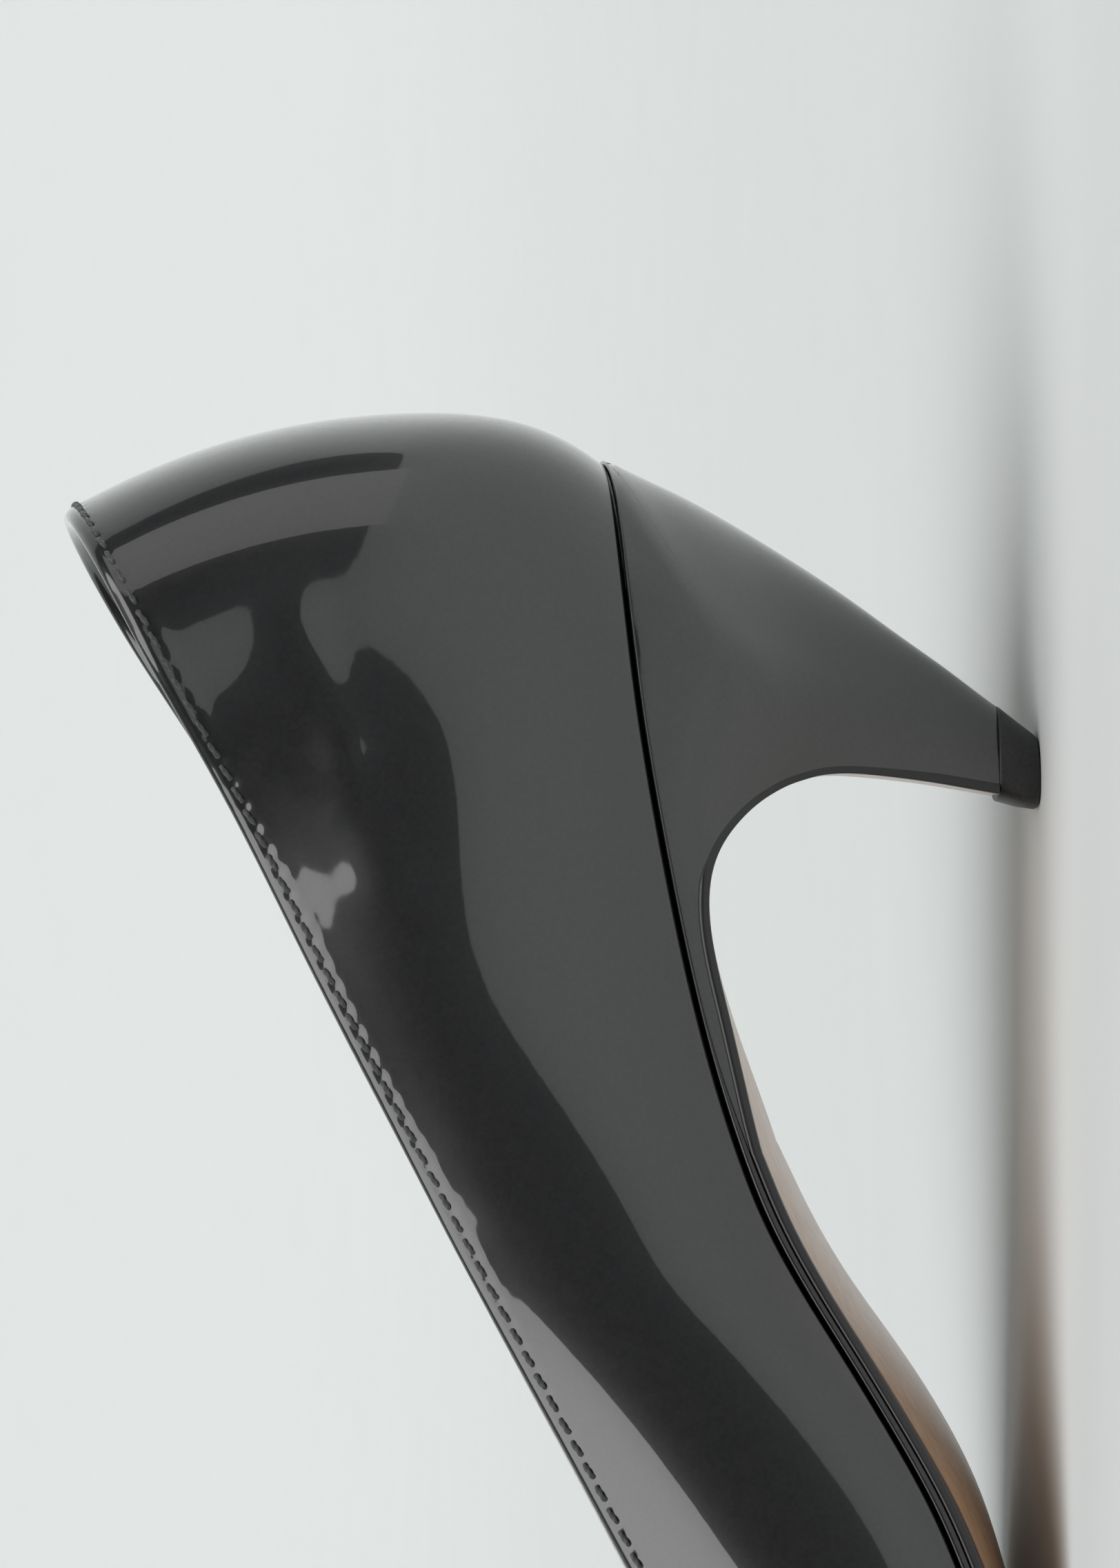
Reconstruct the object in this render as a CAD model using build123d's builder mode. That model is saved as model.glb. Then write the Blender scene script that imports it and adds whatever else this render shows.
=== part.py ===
from build123d import *
import os
from math import atan2, cos, degrees, exp, hypot, pi, radians, sin

import numpy as np

# High heel pump, right shoe, EU 38, with a 52 mm Louis heel.
# Frame: toe along +X, inner (medial) side +Y, +Z up.
# Origin: centre of the ground face of the top lift, on the ground.

# ---------------------------------------------------------------- driving sizes (mm)
TOE_TIP = 209.0            # front of the upper
TOE_LENGTH = 34.0          # length over which the toe rounds in
PIVOT_X = 55.0             # rear sections fan about this point
PIVOT_Z = 150.0
FAN = 80.0                 # length of rear section numbering per radian of fan

LEATHER = 1.1              # upper leather
STIFFENER = 0.7            # heel counter and toe puff
INTERLINING = 0.42         # woven interlining of the vamp
TAPE = 0.4                 # reinforcing tape under the topline
LINING_IN = 2.6            # inner face of the lining below the outer surface
SUEDE = 0.7                # heel grip
SEAM_GAP = 0.08            # rest gap between thread and leather

INSOLE_TOP = 4.8           # insole board top above the feather plane
SOCK = 0.8                 # sock lining thickness
BOARD_FRONT = 198.0        # front end of the insole board
SOCK_FRONT = 190.0         # front end of cushion and sock lining
LAP = 13.0                 # width of the lasted margin under the insole
PROUD = 0.35               # sole edge standing out past the upper
RAND = 1.2                 # rand thickness at the forepart
RAND_SEAT = 0.5            # rand thickness at the heel seat
SOLE = 1.3                 # outsole leather

TAPE_WIDTH = 6.0
INSOLE_JOINT_X = 88.0      # joint of the stiff and the flexible insole board
FLAP_X = 43.0              # the outsole turns down the heel breast from here
HEEL_COVER = 0.9           # heel covering leather

SHANK_WIDTH = 12.0
SHANK_THICK = 1.5
SHANK_BACK = -20.0
SHANK_FRONT = 96.0
RIVET_R = 1.5
RIVETS_X = (14.0, 62.0)

LIFT_TOP = 4.9
TUBE_R = 1.75
TUBE_BORE_R = 1.0
TUBE_FOOT = (-1.9, LIFT_TOP + 0.6)
TUBE_HEAD = (-7.5, 27.0)
PIN_LENGTH = 12.0
SCREW_X = -10.0
SCREW_R = 2.0
SCREW_HEAD_R = 4.0
SCREW_LENGTH = 20.0
NAIL_R = 0.9
NAIL_HEAD_R = 1.8
NAIL_LENGTH = 11.0
NAILS = ((-14, 7.1), (-14, -7.3), (0, 7.3), (0, -7.6))

STITCH_PITCH = 2.85
STITCH_LENGTH = 2.3
STITCH_R = 0.24
STITCH_DROP = 1.6

LAYER_GAP = 0.06           # glue line between layers
LAST_RING = TOE_TIP - 4.2  # the shells end here against the solid toe tip
GLUE = 0.12                # glue line under the lasted margin
WALL_GAP = 0.5             # insole and sock stand off the lining by this
COUNTER_END = 35.0         # front end of the heel counter
PUFF_START = 175.0         # rear end of the toe puff
VAMP_SEAM = 97.0           # seam between quarter and vamp lining
GRIP_END = -9.0            # front end of the heel grip
GRIP_GAP = 0.16            # glue line behind the heel grip
SIDE_POINTS = 9            # spline points down one side of a section
RING_POINTS = 12           # spline points down one side of the heel

FAR = 400.0


def curve(*points):
    """Natural cubic curve through (x, value) points, straight past its ends."""
    x = np.array([p[0] for p in points], float)
    y = np.array([p[1] for p in points], float)
    h = np.diff(x)
    n = len(x)
    a = np.eye(n)
    r = np.zeros(n)
    for i in range(1, n - 1):
        a[i, i - 1] = h[i - 1]
        a[i, i] = 2 * (h[i - 1] + h[i])
        a[i, i + 1] = h[i]
        r[i] = 6 * ((y[i + 1] - y[i]) / h[i] - (y[i] - y[i - 1]) / h[i - 1])
    m = np.linalg.solve(a, r)

    def value(q):
        q_in = min(max(q, x[0]), x[-1])
        i = min(max(int(np.searchsorted(x, q_in)) - 1, 0), n - 2)
        b = (y[i + 1] - y[i]) / h[i] - h[i] * (2 * m[i] + m[i + 1]) / 6
        t = q_in - x[i]
        slope = b + t * m[i] + t * t * (m[i + 1] - m[i]) / (2 * h[i])
        v = y[i] + t * (b + t * (m[i] / 2 + t * (m[i + 1] - m[i]) / (6 * h[i])))
        return float(v + (q - q_in) * slope)

    return value


# ---------------------------------------------------------------- shape of the lasted upper
# Feather plane: height on the centre line, sideways slope, and bow.
FEATHER_Z = curve((-60, 53.0), (-36, 50.4), (-8, 47.1), (10, 43.3), (27, 38.7), (43, 32.7),
                  (51, 29.1), (59, 24.4), (66.8, 18.9), (74.7, 13.6), (82.6, 9.3), (90.5, 6.5),
                  (100, 4.2), (112, 2.5), (124, 2.2), (138, 2.5), (160, 4.0), (184, 6.3), (215, 9.9))
ROLL = curve((-60, 0), (-8, 0), (10, 0.03), (27, 0.07), (43, 0.12), (59, 0.136),
             (70, 0.142), (82.6, 0.117), (95, 0.07), (112, 0.02), (130, 0), (215, 0))
BOW = curve((-60, 0.0004), (0, 0.0006), (43, 0.001), (67, 0.0016), (125, 0.0016), (215, 0.0016))

# Plan shape along the section numbers: half width and sideways shift.
WIDTH = curve((-50, 25.5), (-30, 26.4), (-17, 26.8), (0, 27.1), (20, 27.2), (40, 27.3), (55, 28.8),
              (75, 32.8), (92, 37.2), (105, 38.9), (118, 37.9), (135, 33.4), (155, 26.0),
              (175, 18.8), (190, 14.2), (209, 10.6))
SHIFT = curve((-50, 0), (0, 0), (25, -0.8), (60, -2.6), (85, -1.6), (105, -0.2), (130, 1.4),
              (160, 2.6), (209, 3.2))
RIDGE = curve((55, 88), (75, 71), (92, 59), (105, 51), (120, 43.2), (144, 33.9), (165, 27.8),
              (185, 22.2), (209, 17.6))
LEVEL = curve((55, 27), (75, 21.5), (92, 19.5), (105, 18.5), (125, 18), (150, 16), (180, 13), (209, 10))
BELOW = curve((55, 9.5), (75, 8.5), (92, 8.5), (125, 8.2), (180, 7), (209, 6))
REAR_TOP = curve((-54, 36), (-36, 42), (-17, 46), (10, 50), (35, 56), (55, 62))
REAR_LEVEL = curve((-50, 30), (-17, 31), (0, 33), (20, 33), (40, 30), (55, 27))
LOW_POWER = curve((-50, 2.3), (-17, 2.5), (0, 2.7), (20, 2.6), (40, 2.25), (55, 2.1), (75, 2.3),
                  (95, 2.8), (125, 2.9), (209, 2.6))
TOP_POWER = curve((-50, 1.7), (0, 1.85), (30, 2.0), (55, 2.15), (92, 2.2), (120, 2.1), (144, 2.0), (209, 2.2))

# Back of the last from under the waist, round the heel, to above the topline.
BACK_LINE = ((55, 17), (30, 26), (8, 33), (-12, 38), (-27, 43), (-35.6, 50.8), (-39.6, 58.5),
             (-41, 73.2), (-39.5, 85.9), (-35.9, 98.5), (-29.6, 111.8), (-20, 126))
BACK_REACH = curve(*[(PIVOT_X - FAN * atan2(PIVOT_X - x, PIVOT_Z - z), hypot(PIVOT_X - x, PIVOT_Z - z))
                     for x, z in reversed(BACK_LINE)])

# Topline seen from the side, and how much lower its outer (lateral) run is.
TOPLINE = curve((-40, 117.3), (-28.7, 111.2), (-12, 102.5), (4, 93.7), (20, 85.7), (43.5, 73.6),
                (63, 63.4), (79, 54.8), (91, 48.5), (102, 42.8), (114, 38), (128, 35), (144, 33.9),
                (170, 33.9))
TOPLINE_DROP = curve((-40, 0), (-28, 0), (-16, 0.8), (4, 2.2), (20, 3), (43, 3.7), (70, 4.4),
                     (95, 4), (120, 1.8), (144, 0), (170, 0))


def taper(number, inset, power, root):
    """Shrinking of the sections as the toe closes."""
    s = (number - (TOE_TIP - inset - TOE_LENGTH)) / TOE_LENGTH
    s = min(max(s, 0.0), 1.0)
    return max(1 - s ** power, 0.0) ** root


def section_sizes(number, inset):
    """Half width, and distances of bottom, widest level and ridge from the pivot line."""
    if number >= PIVOT_X:
        c = taper(number, inset, 2.6, 0.5)
        tip = FEATHER_Z(TOE_TIP) + 1.2
        low = tip + (FEATHER_Z(number) - BELOW(number) + inset - tip) * c
        mid = tip + (FEATHER_Z(number) - BELOW(number) + LEVEL(number) - tip) * c
        top = tip + (RIDGE(number) - inset - tip) * taper(number, inset, 3.0, 0.5)
        return (WIDTH(number) - inset) * c, PIVOT_Z - low, PIVOT_Z - mid, PIVOT_Z - top
    reach = BACK_REACH(number)
    return (WIDTH(number) - inset, reach - inset, reach - REAR_LEVEL(number),
            REAR_TOP(number) + inset)


def section_point(number, inset, angle):
    """Point (sideways, distance from the pivot line); angle 0 below, pi at the ridge."""
    half, low, mid, top = section_sizes(number, inset)
    s, c = sin(angle), cos(angle)
    p = LOW_POWER(number) if c > 0 else TOP_POWER(number)
    side = abs(s) ** (2 / p) * (1 if s > 0 else -1)
    up = abs(c) ** (2 / p)
    r = mid + (low - mid) * up if c > 0 else mid - (mid - top) * up
    return SHIFT(number) + half * side, r


def fan_angle(number):
    return 0.0 if number >= PIVOT_X else (PIVOT_X - number) / FAN


def in_space(number, y, r):
    a = fan_angle(number)
    x = number if number >= PIVOT_X else PIVOT_X - r * sin(a)
    return x, y, PIVOT_Z - r * cos(a)


def ground(x, y):
    return FEATHER_Z(x) + ROLL(x) * y + BOW(x) * y * y


def solve(test, low, high):
    """Largest value between low and high for which the test still holds, by halving."""
    for _ in range(40):
        mid = 0.5 * (low + high)
        if test(mid):
            low = mid
        else:
            high = mid
    return low


def under_ground(number, inset, angle, side, height):
    y, r = section_point(number, inset, angle * side)
    x, y, z = in_space(number, y, r)
    return z < ground(x, y) + height


def feather_angle(number, inset, side, height):
    """Angle at which a section leaves the feather plane; zero above the seat."""
    if not under_ground(number, inset, 0.0, side, height):
        return 0.0
    return solve(lambda a: under_ground(number, inset, a, side, height), 0.0, 0.5 * pi)


def rim_angle(number, inset, side, drop):
    """Angle at which a section reaches the topline; pi once the ridge is below it."""
    def below(angle):
        y, r = section_point(number, inset, angle * side)
        x, y, z = in_space(number, y, r)
        lean = inset * min(max((x - 90) / 50, 0.0), 1.0)
        lower = TOPLINE_DROP(x) if side < 0 else 0.0
        return z < TOPLINE(x) - lower - drop - lean
    return solve(below, 0.0, pi)


def throat(drop):
    """Section number at which the ridge meets the topline."""
    return solve(lambda n: RIDGE(n) > TOPLINE(n) - drop, 100.0, 200.0)


def back_rim(inset, drop):
    """Section number at which the back of the shoe meets the topline."""
    def above(n):
        x, y, z = in_space(n, *section_point(n, inset, 0.0))
        return z > TOPLINE(x) - drop
    return solve(above, -50.0, -10.0)


def seat_number(inset, height):
    """Section number at which the back of the last crosses the feather plane."""
    return solve(lambda n: not under_ground(n, inset, 0.0, 1, height), -20.0, 10.0)


def section_plane(number):
    a = fan_angle(number)
    x = number if number >= PIVOT_X else PIVOT_X
    return Plane(origin=(x, 0, PIVOT_Z), x_dir=(0, 1, 0), z_dir=(-cos(a), 0, sin(a)))


def ground_reach(number, y, height):
    """Distance from the pivot line at which a section plane meets the feather plane."""
    a = fan_angle(number)

    def above(r):
        x, _, z = in_space(number, y, r)
        return z > ground(x, y) + height
    return solve(above, 40.0, 190.0)


def arc_points(number, inset, side, start, end):
    """Points on one side of a section between two angles."""
    points = []
    for k in range(SIDE_POINTS):
        angle = start + (end - start) * k / (SIDE_POINTS - 1)
        points.append(section_point(number, inset, angle * side))
    return points


def smooth_edge(points):
    spacing = [k / (len(points) - 1) for k in range(len(points))]
    return Edge.make_spline([Vector(*p) for p in points], parameters=spacing)


def section_face(number, edges):
    with BuildSketch(section_plane(number)) as sketch:
        with BuildLine():
            for points in edges:
                if len(points) > 2:
                    add(smooth_edge(points))
                else:
                    Line(*points)
        make_face()
    return sketch.sketch


def lap_edge(number, y, side, inset):
    """Sideways position of the inner edge of a layer's lasted margin."""
    centre = SHIFT(number)
    return centre + side * max(abs(y - centre) + inset - LAP, 0.5)


def wall(number, inset, side, drop):
    """Rim to feather points of one side, and the sideways place of the feather."""
    height = inset + GLUE
    low = feather_angle(number, inset, side, height)
    high = rim_angle(number, inset, side, drop)
    return arc_points(number, inset, side, high, low)


def half_section(number, side, outer, inner, drop):
    """Closed section of one side of a shell with its lasted margin."""
    out = wall(number, outer, side, drop)
    into = wall(number, inner, side, drop)
    lap = lap_edge(number, out[-1][0], side, outer)
    low = (lap, ground_reach(number, lap, outer + GLUE))
    high = (lap, ground_reach(number, lap, inner + GLUE))
    return section_face(number, [out, [out[-1], low], [low, high], [high, into[-1]],
                                 into[::-1], [into[0], out[0]]])


def ring_section(number, outer, inner):
    """Closed section of a shell running over the ridge, with both margins."""
    edges = []
    for side in (1, -1):
        out = wall(number, outer, side, -FAR)
        into = wall(number, inner, side, -FAR)
        lap = lap_edge(number, out[-1][0], side, outer)
        low = (lap, ground_reach(number, lap, outer + GLUE))
        high = (lap, ground_reach(number, lap, inner + GLUE))
        edges += [out, [out[-1], low], [low, high], [high, into[-1]], into[::-1]]
    return section_face(number, edges)


def back_section(number, outer, inner, drop):
    """Closed section of a shell round the back of the heel."""
    edges = []
    for inset in (outer, inner):
        rows = []
        for side in (1, -1):
            height = inset + GLUE
            low = feather_angle(number, inset, side, height)
            high = rim_angle(number, inset, side, drop)
            if low == 0.0:
                low = min(0.16, 0.3 * high)
            rows.append(arc_points(number, inset, side, high, low))
        plus, minus = rows
        middle = [plus[-1], minus[-1]]
        if not under_ground(number, inset, 0.0, 1, inset + GLUE):
            middle.insert(1, section_point(number, inset, 0.0))
        edges += [plus, middle, minus[::-1]]
        ends = (plus[0], minus[0])
        if inset == outer:
            first = ends
        else:
            edges += [[first[0], ends[0]], [first[1], ends[1]]]
    return section_face(number, edges)


def loft_through(faces):
    with BuildPart() as body:
        for face in faces:
            add(face)
        loft(ruled=True)
    return body.part


def steps(start, end):
    """Common section numbers strictly between two numbers, with the two ends."""
    return [start] + [n for n in NUMBERS if start + 0.7 < n < end - 0.7] + [end]


NUMBERS = [-34, -31, -27, -22, -17, -12, -7.5, -1, 3, 7, 12, 17, 23, 29, 35, 41, 48, 55,
           62, 69, 76, 83, 90, 97, 104, 111, 118, 125, 131, 137, 141, 148, 155, 162, 169, 175,
           181, 187, 192, 196.5, 200]


DEEPEST = LINING_IN + SUEDE
SEAT_OPEN = max(seat_number(d, d + GLUE) for d in (0.0, LINING_IN, DEEPEST)) + 0.5


def shell(outer, inner, start=None, end=None, drop=0.0):
    """Shell between two depths, from one section number to another."""
    first = back_rim(inner, drop) + 0.12
    open_from = SEAT_OPEN
    closed_from = throat(drop)
    start = first if start is None else start
    end = LAST_RING if end is None else end
    with BuildPart() as body:
        if start < open_from:
            stop = min(end, open_from)
            numbers = steps(start, stop)
            if start == first:
                numbers[1:1] = [start + 0.3, start + 0.9]
            add(loft_through([back_section(n, outer, inner, drop) for n in numbers]))
        if start < closed_from and end > open_from:
            numbers = steps(max(start, open_from), min(end, closed_from))
            for side in (1, -1):
                add(loft_through([half_section(n, side, outer, inner, drop) for n in numbers]))
        if end > closed_from:
            numbers = steps(max(start, closed_from), end)
            add(loft_through([ring_section(n, outer, inner) for n in numbers]))
    return body.part


def under(height, extra=None):
    """Everything below the feather plane raised by a height, optionally by a profile too."""
    stations = list(range(-60, 220, 5))
    reach = 60.0
    with BuildPart() as region:
        for x in stations:
            rise = height + (extra(x) if extra else 0.0)
            with BuildSketch(Plane.YZ.offset(x)):
                with BuildLine():
                    ThreePointArc((-reach, ground(x, -reach) + rise), (0, ground(x, 0) + rise),
                                  (reach, ground(x, reach) + rise))
                    Polyline((reach, ground(x, reach) + rise), (reach, -80), (-reach, -80),
                             (-reach, ground(x, -reach) + rise))
                make_face()
        loft(ruled=True)
    return region.part


def feather_outline(inset, height):
    """Plan outline where an inset body leaves the feather plane, from the back round the toe."""
    start = seat_number(inset, height)
    numbers = [start + d for d in (0.12, 0.6, 1.5, 3.2, 6.5, 12, 20, 29)]
    numbers += [38, 47, 55, 64, 74, 84, 95, 106, 118, 131, 145, 159, 171]
    numbers += [TOE_TIP - inset - d for d in (30, 22, 15, 9, 4.5, 1.6)]
    rows = []
    for side in (1, -1):
        row = []
        for n in numbers:
            angle = feather_angle(n, inset, side, height)
            x, y, _ = in_space(n, *section_point(n, inset, angle * side))
            row.append((x, y))
        rows.append(row)
    back = in_space(start, *section_point(start, inset, 0.0))
    tip = (TOE_TIP - inset, SHIFT(TOE_TIP))
    return [(back[0], back[1])] + rows[0] + [tip] + rows[1][::-1]


def sole_width(x, side):
    """Sideways position of the feather edge at a distance along the shoe."""
    half = len(OUTLINE) // 2
    row = OUTLINE[:half + 1] if side > 0 else [OUTLINE[0]] + OUTLINE[:half - 1:-1]
    return float(np.interp(x, [p[0] for p in row], [p[1] for p in row]))


def window_outline():
    """Plan outline of the opening left inside the lasted margin."""
    xs = (-17, -9, 2, 15, 30, 45, 60, 75, 90, 105, 120, 135, 150, 163, 174)
    plus = [(x, sole_width(x, 1) - LAP - 0.9) for x in xs]
    minus = [(x, sole_width(x, -1) + LAP + 0.9) for x in xs]
    return [(-20.5, -0.3)] + plus + [(178.5, 2.6)] + minus[::-1]


def grow(points, distance):
    """Closed plan outline moved outward by a distance."""
    n = len(points)
    moved = []
    for i in range(n):
        ax, ay = points[i - 1]
        bx, by = points[(i + 1) % n]
        length = hypot(bx - ax, by - ay)
        px, py = points[i]
        moved.append((px - distance * (by - ay) / length, py + distance * (bx - ax) / length))
    return moved


def column(points):
    """Upright prism on a closed plan outline."""
    with BuildPart() as body:
        with BuildSketch(Plane.XY.offset(-20)):
            with BuildLine():
                Spline(*points, periodic=True)
            make_face()
        extrude(amount=160)
    return body.part


def side_region(points, y_from=-60, y_to=60):
    """Extruded side view region from a closed list of (x, z) points."""
    with BuildPart() as region:
        with BuildSketch(Plane.XZ.offset(-y_to)):
            with BuildLine():
                Polyline(*points, close=True)
            make_face()
        extrude(amount=y_to - y_from)
    return region.part


def rand_drop(x):
    """Depth of the rand below the feather plane along the shoe."""
    return -RAND_SEAT - (RAND - RAND_SEAT) / (1 + exp(-(x - 38) / 4))


def cushion_rise(x):
    """Foam under the sock: thicker under the heel and under the ball."""
    return 0.8 + 1.6 * exp(-((x + 8) / 30) ** 2) + 1.2 * exp(-((x - 112) / 24) ** 2)


OUTLINE = feather_outline(0, GLUE)
UNDER_FEATHER = under(-GLUE)
UNDER_INSOLE = under(LINING_IN + 3 * GLUE)
UNDER_BOARD = under(INSOLE_TOP)
UNDER_SOCK = under(INSOLE_TOP, cushion_rise)
UNDER_FOOT = under(INSOLE_TOP + SOCK, cushion_rise)
UNDER_RAND = under(0, rand_drop)
UNDER_SOLE = under(-SOLE, rand_drop)
INNER_COLUMN = column(window_outline())
BOARD_COLUMN = column(feather_outline(LINING_IN + WALL_GAP, LINING_IN + GLUE))
CUSHION_COLUMN = column(feather_outline(LINING_IN + WALL_GAP, INSOLE_TOP))
FOOT_COLUMN = column(feather_outline(LINING_IN + WALL_GAP, INSOLE_TOP + SOCK))

# ---------------------------------------------------------------- upper: one piece of leather
NOSE = [LAST_RING, TOE_TIP - 2.6, TOE_TIP - 1.4, TOE_TIP - 0.6]


def nose_section(number):
    plus = wall(number, 0.0, 1, -FAR)
    minus = wall(number, 0.0, -1, -FAR)
    return section_face(number, [plus, minus, [plus[-1], minus[-1]]])


with BuildPart() as upper:
    add(shell(0.0, LEATHER - LAYER_GAP))
    add(loft_through([nose_section(n) for n in NOSE]))

# ---------------------------------------------------------------- stiffeners and interlining
MID_OUT = LEATHER
TAPE_OUT = LEATHER + 0.13
MID_IN = LEATHER + STIFFENER
with BuildPart() as heel_counter:
    add(shell(MID_OUT, MID_IN, end=COUNTER_END, drop=TAPE_WIDTH + 0.2))

with BuildPart() as toe_puff:
    add(shell(MID_OUT, MID_IN, start=PUFF_START))

with BuildPart() as vamp_interlining:
    add(shell(TAPE_OUT, TAPE_OUT + INTERLINING, start=COUNTER_END + 0.1, end=PUFF_START - 0.1,
              drop=TAPE_WIDTH + 0.2))

# ---------------------------------------------------------------- topline tape


def tape_section(number, side):
    """Closed section of the tape lying between upper and lining under the topline."""
    rows = []
    for inset in (TAPE_OUT, TAPE_OUT + TAPE):
        high = rim_angle(number, inset, side, 0.1)
        low = rim_angle(number, inset, side, TAPE_WIDTH)
        rows.append(arc_points(number, inset, side, high, low))
    out, into = rows
    return section_face(number, [out, [out[-1], into[-1]], into[::-1], [into[0], out[0]]])


TAPE_START = back_rim(MID_OUT, TAPE_WIDTH) + 0.5
TAPE_END = throat(0.0) - 0.5
with BuildPart() as topline_tape:
    for side in (1, -1):
        add(loft_through([tape_section(n, side) for n in steps(TAPE_START, TAPE_END)]))

# ---------------------------------------------------------------- linings
LINING_OUT = MID_IN + LAYER_GAP
with BuildPart() as quarter_lining:
    add(shell(LINING_OUT, LINING_IN, end=VAMP_SEAM - 0.05))

with BuildPart() as vamp_lining:
    add(shell(LINING_OUT, LINING_IN, start=VAMP_SEAM + 0.05))

# ---------------------------------------------------------------- heel grip inside the back
with BuildPart() as heel_grip:
    add(shell(LINING_IN + GRIP_GAP, LINING_IN + SUEDE, end=GRIP_END, drop=3.0))

# ---------------------------------------------------------------- shank and its rivets
with BuildPart() as shank_blank:
    with BuildSketch(Plane.XY.offset(-20)):
        with Locations(((SHANK_BACK + SHANK_FRONT) / 2, 0)):
            SlotOverall(SHANK_FRONT - SHANK_BACK, SHANK_WIDTH)
    extrude(amount=160)
    add(UNDER_INSOLE, mode=Mode.INTERSECT)
    add(under(LINING_IN - SHANK_THICK), mode=Mode.SUBTRACT)


def seat_height(x, rise):
    return ground(x, 0) + rise


RIVET_BASE = LINING_IN - SHANK_THICK - 0.5
with BuildPart() as shank_rivets:
    for x in RIVETS_X:
        with BuildSketch(Plane.XY.offset(seat_height(x, RIVET_BASE))):
            with Locations((x, 0)):
                Circle(RIVET_R)
        extrude(amount=INSOLE_TOP - RIVET_BASE - 1.6)

# ---------------------------------------------------------------- heel fixings: screw, nails, dowel
SCREW_TOP = seat_height(SCREW_X, INSOLE_TOP) - 1.2
with BuildPart() as heel_screw:
    with BuildSketch(Plane.XY.offset(SCREW_TOP)):
        with Locations((SCREW_X, 0)):
            Circle(SCREW_HEAD_R)
    extrude(amount=-1.6)
    with BuildSketch(Plane.XY.offset(SCREW_TOP - 1.6)):
        with Locations((SCREW_X, 0)):
            Circle(SCREW_R)
    extrude(amount=-SCREW_LENGTH, taper=1.5)
    with BuildSketch(Plane.XY.offset(SCREW_TOP)):
        with Locations((SCREW_X, 0)):
            Rectangle(SCREW_HEAD_R * 1.5, 1.0)
            Rectangle(1.0, SCREW_HEAD_R * 1.5)
    extrude(amount=-0.9, mode=Mode.SUBTRACT)

with BuildPart() as heel_nails:
    for x, y in NAILS:
        top = ground(x, y) + INSOLE_TOP - 0.9
        with BuildSketch(Plane.XY.offset(top)):
            with Locations((x, y)):
                Circle(NAIL_HEAD_R)
        extrude(amount=-0.8)
        with BuildSketch(Plane.XY.offset(top - 0.8)):
            with Locations((x, y)):
                Circle(NAIL_R)
        extrude(amount=-NAIL_LENGTH, taper=1.2)

TUBE_LEAN = degrees(atan2(TUBE_HEAD[0] - TUBE_FOOT[0], TUBE_HEAD[1] - TUBE_FOOT[1]))
TUBE_LENGTH = hypot(TUBE_HEAD[0] - TUBE_FOOT[0], TUBE_HEAD[1] - TUBE_FOOT[1])
TUBE_AXIS = (sin(radians(TUBE_LEAN)), 0, cos(radians(TUBE_LEAN)))
TUBE_PLANE = Plane(origin=(TUBE_FOOT[0], 0, TUBE_FOOT[1]), x_dir=(0, 1, 0), z_dir=TUBE_AXIS)
with BuildPart() as tube_blank:
    with BuildSketch(TUBE_PLANE):
        Circle(TUBE_R)
    extrude(amount=TUBE_LENGTH)

with BuildPart() as top_lift_pin:
    with BuildSketch(TUBE_PLANE.offset(-3.0)):
        Circle(TUBE_BORE_R)
    extrude(amount=PIN_LENGTH)

with BuildPart() as heel_tube:
    add(tube_blank.part)
    with BuildSketch(TUBE_PLANE):
        Circle(TUBE_BORE_R)
    extrude(amount=TUBE_LENGTH, mode=Mode.SUBTRACT)

with BuildPart() as shank:
    add(shank_blank.part)
    add(shank_rivets.part, mode=Mode.SUBTRACT)
    add(heel_screw.part, mode=Mode.SUBTRACT)

# ---------------------------------------------------------------- insole board, in two pieces
JOINT_SIDE = ((INSOLE_JOINT_X, -30), (FAR, -30), (FAR, 90), (INSOLE_JOINT_X - 6, 90))
BOARD_SIDE = ((-60, -30), (BOARD_FRONT, -30), (BOARD_FRONT, 90), (-60, 90))
SOCK_SIDE = ((-60, -30), (SOCK_FRONT, -30), (SOCK_FRONT, 90), (-60, 90))
with BuildPart() as insole_board:
    add(BOARD_COLUMN)
    add(side_region(BOARD_SIDE), mode=Mode.INTERSECT)
    add(UNDER_BOARD, mode=Mode.INTERSECT)
    add(UNDER_INSOLE, mode=Mode.SUBTRACT)

with BuildPart() as insole_forepart:
    add(insole_board.part)
    add(side_region(JOINT_SIDE), mode=Mode.INTERSECT)

with BuildPart() as insole_backpart:
    add(insole_board.part)
    add(side_region(JOINT_SIDE), mode=Mode.SUBTRACT)
    add(shank_rivets.part, mode=Mode.SUBTRACT)
    add(heel_screw.part, mode=Mode.SUBTRACT)
    add(heel_nails.part, mode=Mode.SUBTRACT)

# ---------------------------------------------------------------- foam cushion and sock lining
with BuildPart() as footbed_cushion:
    add(CUSHION_COLUMN)
    add(side_region(SOCK_SIDE), mode=Mode.INTERSECT)
    add(UNDER_SOCK, mode=Mode.INTERSECT)
    add(UNDER_BOARD, mode=Mode.SUBTRACT)

with BuildPart() as sock_lining:
    add(FOOT_COLUMN)
    add(side_region(SOCK_SIDE), mode=Mode.INTERSECT)
    add(UNDER_FOOT, mode=Mode.INTERSECT)
    add(UNDER_SOCK, mode=Mode.SUBTRACT)

# ---------------------------------------------------------------- rand round the sole edge
SOLE_COLUMN = column(grow(OUTLINE, PROUD))
with BuildPart() as rand:
    add(SOLE_COLUMN)
    add(UNDER_FEATHER, mode=Mode.INTERSECT)
    add(UNDER_RAND, mode=Mode.SUBTRACT)
    add(INNER_COLUMN, mode=Mode.SUBTRACT)

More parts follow.
